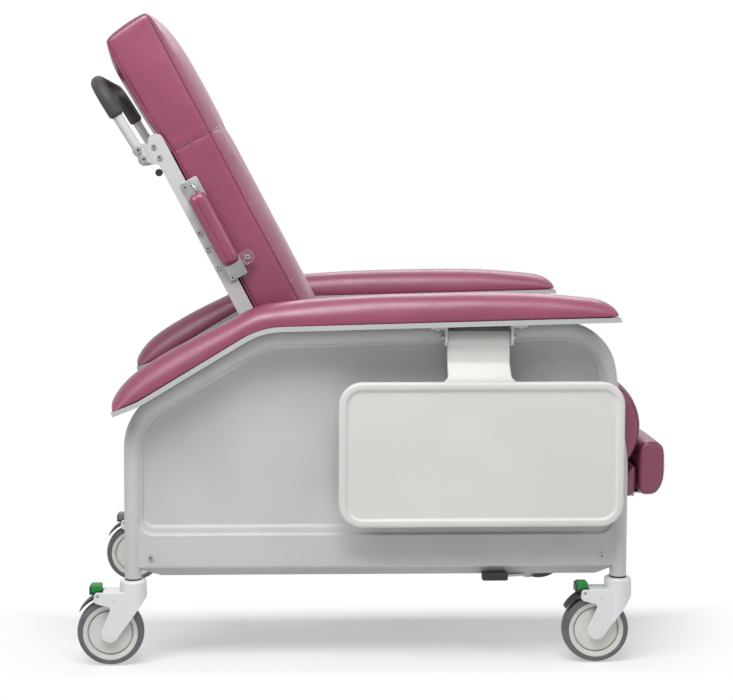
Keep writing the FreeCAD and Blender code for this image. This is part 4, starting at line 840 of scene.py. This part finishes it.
def rear_t(s, crown):
    """The rear of the head, full between its seams."""
    share = (s - HEAD_SEAM) / (HEAD_TOP - HEAD_SEAM)
    full = 1 - abs(2 * share - 1) ** 3
    return REAR_T - HEAD_REAR_LEAN * share - crowned(HEAD_REAR_RISE, crown) * full


def back_outline(crown):
    """The back and the head as one upholstered length, pinched a little where they are sewn."""
    front = [(s, front_t(s, crown)) for s in np.linspace(FRONT_TOP, BACK_SPAN[0], 120)]
    rear = [(s, rear_t(s, crown)) for s in np.linspace(HEAD_SEAM, HEAD_TOP, 24)]
    foot = (BACK_SPAN[0], REAR_T)
    top = bowed(rear[-1], front[0], -crowned(HEAD_TOP_RISE, crown))
    return [foot, *rear], top, front, [front[-1], foot]


def puffed(piece, rise):
    """Fill out the sides of the head between its seams."""
    places = coords(piece)
    from_foot = places / MM - np.array(BACK_FOOT)
    up, fore = from_foot @ np.array(BACK_UP), from_foot @ np.array(BACK_FORE)
    along = np.clip(1 - ((up - HEAD_MIDDLE[0]) / HEAD_REACH[0]) ** 2, 0, 1)
    deep = np.clip(1 - ((fore - HEAD_MIDDLE[1]) / HEAD_REACH[1]) ** 2, 0, 1)
    inner_y = HEAD_SIDE_FROM * BACK_HALF
    outer = np.clip((np.abs(from_foot[:, 1]) - inner_y) / (BACK_HALF - inner_y), 0, 1)
    places[:, 1] += np.sign(from_foot[:, 1]) * outer * along * deep * rise * MM
    put(piece, places)


def seat_outline(crown):
    """Flat underneath and crowned on top, with a roll at the front."""
    radius = crowned(ROLL_R, crown)
    high, under, end = ROLL_ANGLES
    roll = turn(ROLL_CENTRE, radius, high, under, 40)
    nose = turn(ROLL_CENTRE, radius, under, end, 4)
    lip = nose[-1] + (Vector(SEAT_FOOT) - nose[-1]).normalized() * SEAT_LIP
    rear_low, rear_high = (SEAT_REAR, SEAT_UNDER), (SEAT_REAR, crowned(SEAT_TOP, crown))
    return [rear_low, rear_high], [rear_high, *roll], [*nose, lip], [lip, SEAT_FOOT, rear_low]


def calf_outline(crown):
    """A pad hollowed on top, round the seat's roll."""
    (rear, fore), (rear_top, fore_top) = CALF_X, CALF_TOP
    hollow = turn(ROLL_CENTRE, CALF_HOLLOW_R, *CALF_HOLLOW_ANGLES, 16)
    front = bowed((fore, fore_top), (fore, CALF_LOW), crowned(CALF_RISE, crown))
    return [(rear, CALF_LOW), (rear, rear_top)], hollow, front, [(fore, CALF_LOW), (rear, CALF_LOW)]


def foot_outline(crown):
    """A folded pad with a round lower front edge, which clears the leg rest when it folds out."""
    (rear, fore), (low, high) = FOOT_X, FOOT_Z
    top = bowed((rear, high), (fore, high), crowned(FOOT_TOP_RISE, crown))
    front = bowed((fore, high), FOOT_CHIN[0], crowned(FOOT_FRONT_RISE, crown))
    return [(rear, low), (rear, high)], top, [*front, *FOOT_CHIN[1:]], [FOOT_CHIN[-1], (rear, low)]


def edge_lines(outline, half, place, sides):
    """Seam lines along chosen sides of the outline, at both ends of the width."""
    flat = [spread(outline(0.0)[k], SEAM_STEPS) for k in sides]
    return [[place(a, y, b) for a, b in line] for y in (-half, half) for line in flat]


def sew_edges(piece, name, body, lines, seed, piped=()):
    """Creased seams with threads, a dark cord of painted crease shade in each seam that is not piped,
    and round piping on the chosen lines.
    """
    seams = [Seam(piece, line) for line in lines]
    sewn(piece, seams, depth=1.6, width=5.0, pucker=0.45, reach=16.0, seed=seed)
    laid = [Seam(piece, line) for line in lines]
    shade_cords, pipes, threads = [], [], []
    for i, seam in enumerate(laid):
        if i in piped:
            pipes.append(seam.cord(radius=1.9, lift=0.6))
        else:
            # a dark cord of painted shade, standing for the shade in the crease
            shade_cords.append(seam.cord(radius=1.15, lift=0.1))
        threads += seam.stitches(aside=4.2)
    trim(f"{name}_creases", body, shade_cords, CREASE_SHADE)
    trim(f"{name}_piping", body, pipes, LOOKS["vinyl"])
    trim(f"{name}_threads", body, threads, THREAD)


def cross_seam(y):
    """The line over one side where the head is sewn to the back."""
    return [on_back(HEAD_SEAM, y, REAR_T + CROSS_SEAM_DEEP * k / 30) for k in range(31)]


def front_seam():
    """The same line over the front."""
    line = []
    for k in range(101):
        share = k / 50 - 1
        line.append(on_back(HEAD_SEAM, share * BACK_HALF, front_t(HEAD_SEAM, crown_at(share))))
    return line


def pad(name, solid, body, outline, counts, half, rounds, seamed, seed, **firmness):
    """A wide cushion drawn in the side view, with its edges sewn."""
    skin = boxed(outline, counts, stations_across(half), on_side, rounds)
    piece = cushion(name, (solid,), body, skin, **firmness)
    sew_edges(piece, name, body, edge_lines(outline, half, on_side, seamed), seed)


back = cushion("back_pad", ("back_cushion", "head_cushion"), "back",
               boxed(back_outline, (96, 12), stations_across(BACK_HALF), on_back, 1),
               over=13.0, flats=(-BACK_UP,), fill=0.75)
puffed(back, rise=8.0)
back_lines = edge_lines(back_outline, BACK_HALF, on_back, (0, 1, 2))
back_lines += [cross_seam(-BACK_HALF), cross_seam(BACK_HALF), front_seam()]
sew_edges(back, "back_pad", "back", back_lines, seed=1.7, piped=(0, 3))
pad("seat_pad", "seat_cushion", "frame", seat_outline, (11, 70), SEAT_HALF, 1, seamed=(1,), seed=7.9,
    over=11.0, flats=(DOWN,), fill=0.75)
pad("calf_roll", "calf_pad", "leg_rest", calf_outline, (6, 9), LEG_HALF, 1, seamed=(1, 2), seed=11.1,
    over=1.5, flats=(REARWARD,), fill=0.8, pressure=4.0, cap=8.0)
pad("foot_roll", "foot_pad", "foot_rest", foot_outline, (15, 7), LEG_HALF, 9, seamed=(1, 2, 3),
    seed=13.7, over=9.0, flats=(REARWARD, DOWN), fill=0.8, ease=2)


ARM_UNDER = 25.5
ARM_TAIL = 268
ARM_TIP = 50
ARM_TIP_DIP = math.radians(10)
ARM_BENDS = (124.5, 145.5)
ARM_FRONT = 667
ARM_MIDDLE = 336.0
ARM_HALF = 44.0
ARM_EDGE_SHARE = 0.16
ARM_DOME_SHARE = 0.84
ARM_DOME_POWER = 0.6
ARM_REAR_CROWN = ((-314, 21), (-282, 37), (-236, 46), (-150, 46), (-56, 38))
ARM_KNEE_CROWN = 34.5
ARM_FORE_CROWN = ((44, 41), (130, 46), (220, 48.5), (400, 48), (520, 43), (622, 33), (650, 26),
                  (664, 15))
ARM_RUNS = [(Vector(b) - Vector(a)).normalized() for a, b in zip(ARCH[:2], ARCH[1:3])]
ARM_UPS = [Vector((-run.y, run.x)) for run in ARM_RUNS]


def through(points, steps=8):
    """A smooth 2-D curve through points."""
    made = []
    points = [Vector(p) for p in points]
    ends = [2 * points[0] - points[1], *points, 2 * points[-1] - points[-2]]
    for a, b, c, d in zip(ends, ends[1:], ends[2:], ends[3:]):
        for k in range(steps):
            u = k / steps
            made.append(0.5 * (2 * b + (c - a) * u + (2 * a - 5 * b + 4 * c - d) * u * u
                               + (3 * b - a - 3 * c + d) * u ** 3))
    made.append(points[-1])
    return made


def arm_outline(fullness):
    """An arm that slopes down to its rear tip, along the side tube's line."""
    slope, top = ARM_RUNS
    slope_up, top_up = ARM_UPS
    knee = shifted(ARCH[:3], ARM_UNDER)[1]
    tail = knee - slope * ARM_TAIL
    cos, sin = math.cos(-ARM_TIP_DIP), math.sin(-ARM_TIP_DIP)
    tip_run = Vector((slope.x * cos - slope.y * sin, slope.x * sin + slope.y * cos))
    tip = tail - tip_run * ARM_TIP
    fore = knee + top * ARM_FRONT
    under = rounded([tip, tail, knee, fore], ARM_BENDS, 10)
    crown = [knee + slope * run + slope_up * (rise * fullness) for run, rise in ARM_REAR_CROWN]
    crown.append(knee + (slope_up + top_up).normalized() * (ARM_KNEE_CROWN * fullness))
    crown += [knee + top * run + top_up * (rise * fullness) for run, rise in ARM_FORE_CROWN]
    return [tip, crown[0]], through(crown), [crown[-1], fore], under[::-1]


def arm_stations(side, count=16):
    """Places across an arm pad, with how full it is at each."""
    made = []
    for k in range(count + 1):
        share = math.sin(math.pi / 2 * (2 * k / count - 1))
        full = ARM_EDGE_SHARE + ARM_DOME_SHARE * max(0.0, 1 - share ** 2) ** ARM_DOME_POWER
        made.append((full, side * ARM_MIDDLE + share * ARM_HALF))
    return made


for side, name in SIDES:
    rests = [Vector((-up.x, 0, -up.y)) for up in ARM_UPS]
    cushion(f"arm_cushion_{name}", (f"arm_pad_{name}",), "frame",
            boxed(arm_outline, (4, 110), arm_stations(side), on_side, 1),
            over=4.0, flats=rests, fill=0.85)


BOLSTER_MIDDLE = (397.0, 20.0)
BOLSTER_HALF = (76.0, 18.5)
BOLSTER_Y = (257.6, 286.6)
BOLSTER_INSETS = ((0.0, 3.0), (0.08, 1.0), (0.2, 0.0), (0.35, 0.0), (0.5, 0.0), (0.65, 0.3), (0.78, 1.6),
                  (0.88, 3.8), (0.95, 6.6), (1.0, 10.0))
BOLSTER_SEAM_T = 17.0
BOLSTER_END_UP = 9
BOLSTER_END_DEEP = 21
BOLSTER_END_FALL = 16


def bolster_outline(inset):
    """The bolster's four sides, drawn in by an inset."""
    s0, s1 = (BOLSTER_MIDDLE[0] + sign * (BOLSTER_HALF[0] - inset) for sign in (-1, 1))
    t0, t1 = (BOLSTER_MIDDLE[1] + sign * (BOLSTER_HALF[1] - inset) for sign in (-1, 1))
    return [(s0, t0), (s1, t0)], [(s1, t0), (s1, t1)], [(s1, t1), (s0, t1)], [(s0, t1), (s0, t0)]


def bolster_seams(side):
    """A seam along the bolster's crest and one across its foot."""
    low, high = (BOLSTER_MIDDLE[0] + sign * (BOLSTER_HALF[0] - 1) for sign in (-1, 1))
    crest = side * (BOLSTER_Y[1] + 2)
    lengthwise = [on_back(low + (high - low) * k / 30, crest, BOLSTER_SEAM_T) for k in range(31)]
    foot_end = []
    for k in range(13):
        y = crest - side * BOLSTER_END_FALL * (k / 12) ** 3
        foot_end.append(on_back(low + BOLSTER_END_UP, y, BOLSTER_SEAM_T + BOLSTER_END_DEEP * k / 12))
    return lengthwise, foot_end


for side, name in SIDES:
    deep = BOLSTER_Y[1] - BOLSTER_Y[0]
    across_y = [(inset, side * (BOLSTER_Y[0] + share * deep)) for share, inset in BOLSTER_INSETS]
    skin = boxed(bolster_outline, (22, 7), across_y, on_back, 3)
    bolster = cushion(f"bolster_{name}", (f"bolster_pad_{name}",), "back", skin, over=1.2,
                      flats=(Vector((0, -side, 0)),), fill=0.85, ease=2, pressure=4.0, cap=6.0)
    seams = [Seam(bolster, line, spacing=2.0) for line in bolster_seams(side)]
    sewn(bolster, seams, depth=0.9, width=3.0, pucker=0.4, reach=8.0, seed=17.3 + side)
    seams = [Seam(bolster, line, spacing=2.0) for line in bolster_seams(side)]
    # Dark cords of painted shade along the bolster's seam creases.
    trim(f"bolster_{name}_creases", "back", [seam.cord(0.7, 0.0) for seam in seams], CREASE_SHADE)
    trim(f"bolster_{name}_threads", "back", seams[0].stitches(2.6, 2.4, 4.0, 0.3), THREAD)


# Grip and small fittings


HANDLE_LEAN = math.radians(31.8)
HANDLE_BOLT = Vector((-448.0, 0, 974.0))
HANDLE_RUN = Vector((-math.sin(HANDLE_LEAN), 0, math.cos(HANDLE_LEAN)))
HANDLE_Y = 262.8
HANDLE_BEND = 55
GRIP_SPAN = (75.0, 151.0)
GRIP_R = 14.5
GRIP_END_R = 10.2
GRIP_END = 7.0


def grip():
    """Foam sleeve on the push handle, with rolled ends."""
    near, far = GRIP_SPAN
    corners = [(near, -HANDLE_Y), (far, -HANDLE_Y), (far, HANDLE_Y), (near, HANDLE_Y)]
    line = spread(rounded(corners, (HANDLE_BEND, HANDLE_BEND), 16), 150)
    run = travel(line)
    radii = []
    for place in np.minimum(run, run[-1] - run):
        left = max(0.0, 1 - place / GRIP_END)
        radii.append((GRIP_END_R + (GRIP_R - GRIP_END_R) * math.sqrt(1 - left ** 2)) * MM)
    points = [(HANDLE_BOLT + HANDLE_RUN * a + Vector((0, y, 0))) * MM for a, y in line]
    fitted("grip", tube(points, radii, 24), "back", "grip_foam", "handle_grip")


def block(low, high, radius, steps):
    """A block with round corners and edges."""
    (x0, y0, z0), (x1, y1, z1) = low, high
    quarter = [math.pi / 2 * k / steps for k in range(steps + 1)]
    ends = [(radius * (1 - math.sin(a)), z0 + radius * (1 - math.cos(a))) for a in quarter]
    ends += [(radius * (1 - math.cos(a)), z1 - radius * (1 - math.sin(a))) for a in quarter]
    return stacked((x0, y0), (x1, y1), radius, steps, ends, lambda p, z: Vector((p.x, p.y, z)))


CASTER_X = {"rear": -460.0, "front": 463.0}
CASTER_Y = 318.0
PEDAL_CAP = ((-80.5, 138.5), (-58.5, 155.0))
PEDAL_CAP_HALF = 12.4
PEDAL_CAP_EDGE = 4.0
FORK_FACE = 23.0
FORK_MARKS = ((-66.0, 135.9, 3.2), (-35.0, 126.0, 1.3), (1.0, 108.0, 1.3))
RIVET_SECTION = ((-0.5, 1.0), (0.25, 1.0), (0.6, 0.8), (0.75, 0.4))


def caster_trim(end, side, name):
    """Cap on the brake pedal, and the rivet ends on the fork."""
    body = f"caster_{end}_{name}"
    x, y = CASTER_X[end], side * CASTER_Y
    (x0, z0), (x1, z1) = PEDAL_CAP
    low, high = (x + x0, y - PEDAL_CAP_HALF, z0), (x + x1, y + PEDAL_CAP_HALF, z1)
    finish = GREEN_CAP if side < 0 else GREY_CAP
    cap = block(low, high, PEDAL_CAP_EDGE, 5)
    fitted(f"{body}_cap", cap, f"{body}_brake", "black_plastic", look=finish)
    rivets = []
    for dx, z, radius in FORK_MARKS:
        profile = [(along * MM, radius * share * MM) for along, share in RIVET_SECTION]
        for face in (-1, 1):
            place = Vector((x + dx, y + face * FORK_FACE, z)) * MM
            rivets.append(turned(profile, place, (0, face, 0), 18))
    fitted(f"{body}_rivets", merge(rivets), body, "steel")


HOOK_LINE = ((468, 266, 26), (482, 265.5, 25), (487, 264, 23.5), (490, 261, 21.5), (491, 256, 20.5))
HOOK_R = 2.6
STRIP = ((292, 2), (502, 38), 3.5, 253.3, 257.3)
TAB = ((306, 34), (334, 64), 10, 253.4, 255.6)


def plate(low, high, corner, y_in, y_out, side):
    """Flat plate on the back's side with eased edges."""
    section = ((0.6, y_in), (0.1, y_in + 0.5), (0.0, y_out - 0.6), (0.2, y_out - 0.2), (0.7, y_out))
    return stacked(low, high, corner, 6, section, lambda p, y: on_back(p.x, side * y, p.y))


def bolster_fittings(side, name):
    """Steel strip behind the bolster, clear tab round its fore screw and bent wire at its top end."""
    fitted(f"bolster_strip_{name}", plate(*STRIP, side), "back", "steel", f"bolster_plate_{name}")
    fitted(f"bolster_tab_{name}", plate(*TAB, side), "back", "steel", look=CLEAR_TAB)
    hook = [on_back(s, side * y, t) * MM for s, y, t in HOOK_LINE]
    fitted(f"bolster_hook_{name}", wire(hook, HOOK_R * MM, 12), "back", "steel")


def loose_parts(node):
    """World points of each separate solid in a node."""
    work = bmesh.new()
    work.from_mesh(node.data)
    bmesh.ops.remove_doubles(work, verts=work.verts, dist=1e-6)
    work.verts.ensure_lookup_table()
    left = set(range(len(work.verts)))
    parts = []
    while left:
        stack = [left.pop()]
        found = []
        while stack:
            vert = work.verts[stack.pop()]
            found.append(node.matrix_world @ vert.co)
            for edge in vert.link_edges:
                other = edge.other_vert(vert).index
                if other in left:
                    left.remove(other)
                    stack.append(other)
        parts.append(np.array([tuple(p) for p in found]))
    work.free()
    return parts


HEAD_SLACK = 0.2 * MM
SMALLEST_HEAD_R = 1.5 * MM
RECESS_SHARE = 0.42
RECESS_Y = (-0.4 * MM, 0.12 * MM)


def recess_shades(name, body):
    """Dark disc of painted shade on each screw head that faces sideways, where its driver recess is."""
    parts = []
    for points in loose_parts(NODES[name]):
        low, high = points.min(axis=0), points.max(axis=0)
        middle = (low + high) / 2
        side = -1 if middle[1] < 0 else 1
        crest = low[1] if side < 0 else high[1]
        head = points[np.abs(points[:, 1] - crest) < HEAD_SLACK]
        wide, _, tall = (head.max(axis=0) - head.min(axis=0)) / 2
        if abs(wide - tall) > HEAD_SLACK or wide < SMALLEST_HEAD_R:
            continue
        place = Vector((middle[0], crest, middle[2]))
        profile = [(along, wide * RECESS_SHARE) for along in RECESS_Y]
        parts.append(turned(profile, place, (0, side, 0), 6))
    fitted(f"{name}_recesses", merge(parts), body, "steel", look=RECESS_SHADE, smooth=False)


grip()
for side, name in SIDES:
    bolster_fittings(side, name)
recess_shades("frame_screws", "frame")
recess_shades("back_screws", "back")
for end in CASTER_X:
    for side, name in SIDES:
        caster_trim(end, side, name)
EDGED = {"arm_plate": 1.6, "lower_rail": 1.6, "back_upright": 0.8, "tray_brackets": 0.8,
         "seat_support": 0.8}
EDGE_ANGLE = math.radians(40)
for name, node in NODES.items():
    width = next((w for key, w in EDGED.items() if name.startswith(key)), None)
    if width:
        soft = node.modifiers.new("edges", "BEVEL")
        soft.width = width * MM
        soft.segments = 2
        soft.limit_method = "ANGLE"
        soft.angle_limit = EDGE_ANGLE


# Studio


EYE = Vector((-228.6, -3423.1, 957.1)) * MM
CAMERA_YAW = 1.328
CAMERA_PITCH = 4.265
LENS = 81.55
SHIFT = (0.10, -0.0914)
AMBIENT = 0.05
FLOOR_HALF = 14.0
# Where the floor turns white: the range of the distance, and the share of white at its two ends.
FLOOR_FADE_Y = (-0.16, 0.10, 0.0, 1.0)
FLOOR_FADE_FRONT = (-0.42, -0.32, 1.0, 0.0)
FLOOR_FADE_R = (0.50, 0.85, 0.45, 1.0)


def camera():
    data = bpy.data.cameras.new("camera")
    data.lens = LENS
    data.sensor_width = 36.0
    data.shift_x, data.shift_y = SHIFT
    made = bpy.data.objects.new("camera", data)
    made.location = EYE
    made.rotation_euler = (math.radians(90 - CAMERA_PITCH), 0, math.radians(-CAMERA_YAW))
    SCENE.collection.objects.link(made)
    SCENE.camera = made


def softbox(name, place, aim, size, power):
    data = bpy.data.lights.new(name, "AREA")
    data.shape = "RECTANGLE"
    data.size, data.size_y = size
    data.energy = power
    made = bpy.data.objects.new(name, data)
    made.location = place
    made.rotation_euler = (Vector(aim) - Vector(place)).to_track_quat("-Z", "Y").to_euler()
    SCENE.collection.objects.link(made)


def largest(tree, first, *others):
    """The largest of several values."""
    for other in others:
        larger = tree.nodes.new("ShaderNodeMath")
        larger.operation = "MAXIMUM"
        tree.links.new(first, larger.inputs[0])
        tree.links.new(other, larger.inputs[1])
        first = larger.outputs["Value"]
    return first


def seen_directly(tree):
    """One where a camera, glossy or transmission ray meets the surface, else zero."""
    path = tree.nodes.new("ShaderNodeLightPath")
    kinds = ("Is Camera Ray", "Is Glossy Ray", "Is Transmission Ray")
    return largest(tree, *(path.outputs[kind] for kind in kinds))


def world():
    """White where it is seen, and a faint even light on the object."""
    made = bpy.data.worlds.new("studio")
    made.use_nodes = True
    SCENE.world = made
    tree = made.node_tree
    back = tree.nodes["Background"]
    back.inputs["Color"].default_value = (1, 1, 1, 1)
    level = ranged(tree, seen_directly(tree), (0, 1, AMBIENT, 1), "SMOOTHSTEP")
    tree.links.new(level, back.inputs["Strength"])


def floor():
    """Pale floor that keeps the near shadow and fades into the white background."""
    made = Finish("floor", Roughness=0.9, Specular_IOR_Level=0.0)
    made.colour(made.noise(3.0, 3.0), (247, 247, 247), (250, 250, 250))
    made.bump(made.noise(200.0, 3.0), 0.02, 0.0005)
    tree = made.tree
    split = made.node("ShaderNodeSeparateXYZ")
    made.link(made.place, split.inputs["Vector"])
    behind = ranged(tree, split.outputs["Y"], FLOOR_FADE_Y, "SMOOTHSTEP")
    length = made.node("ShaderNodeVectorMath", operation="LENGTH")
    made.link(made.place, length.inputs[0])
    away = ranged(tree, length.outputs["Value"], FLOOR_FADE_R, "SMOOTHSTEP")
    ahead = ranged(tree, split.outputs["Y"], FLOOR_FADE_FRONT, "SMOOTHSTEP")
    larger = largest(tree, away, behind, ahead)
    share = made.node("ShaderNodeMath", operation="MULTIPLY")
    made.link(larger, share.inputs[0])
    made.link(seen_directly(tree), share.inputs[1])
    white = made.node("ShaderNodeEmission")
    white.inputs["Color"].default_value = (1, 1, 1, 1)
    blend = made.node("ShaderNodeMixShader")
    made.link(share.outputs["Value"], blend.inputs["Fac"])
    made.link(made.shader.outputs["BSDF"], blend.inputs[1])
    made.link(white.outputs["Emission"], blend.inputs[2])
    made.link(blend.outputs["Shader"], tree.nodes["Material Output"].inputs["Surface"])
    corners = [(x * FLOOR_HALF, y * FLOOR_HALF, 0) for x, y in ((-1, -1), (1, -1), (1, 1), (-1, 1))]
    piece = add_object("floor", corners, [(0, 1, 2, 3)], made.material, False)


camera()
world()
softbox("overhead", (-0.5, -1.6, 2.9), (0.0, -0.2, 0.5), (2.4, 1.0), 74)
softbox("rear", (0.5, 1.9, 2.8), (0.0, 0.0, 0.5), (2.0, 1.2), 32)
softbox("fill", (-2.3, -2.3, 2.7), (0.0, -0.2, 0.5), (1.6, 1.2), 20)
softbox("side", (2.6, -1.0, 2.2), (0.2, 0.0, 0.6), (1.6, 1.6), 18)
floor()
SCENE.view_settings.view_transform = "Standard"
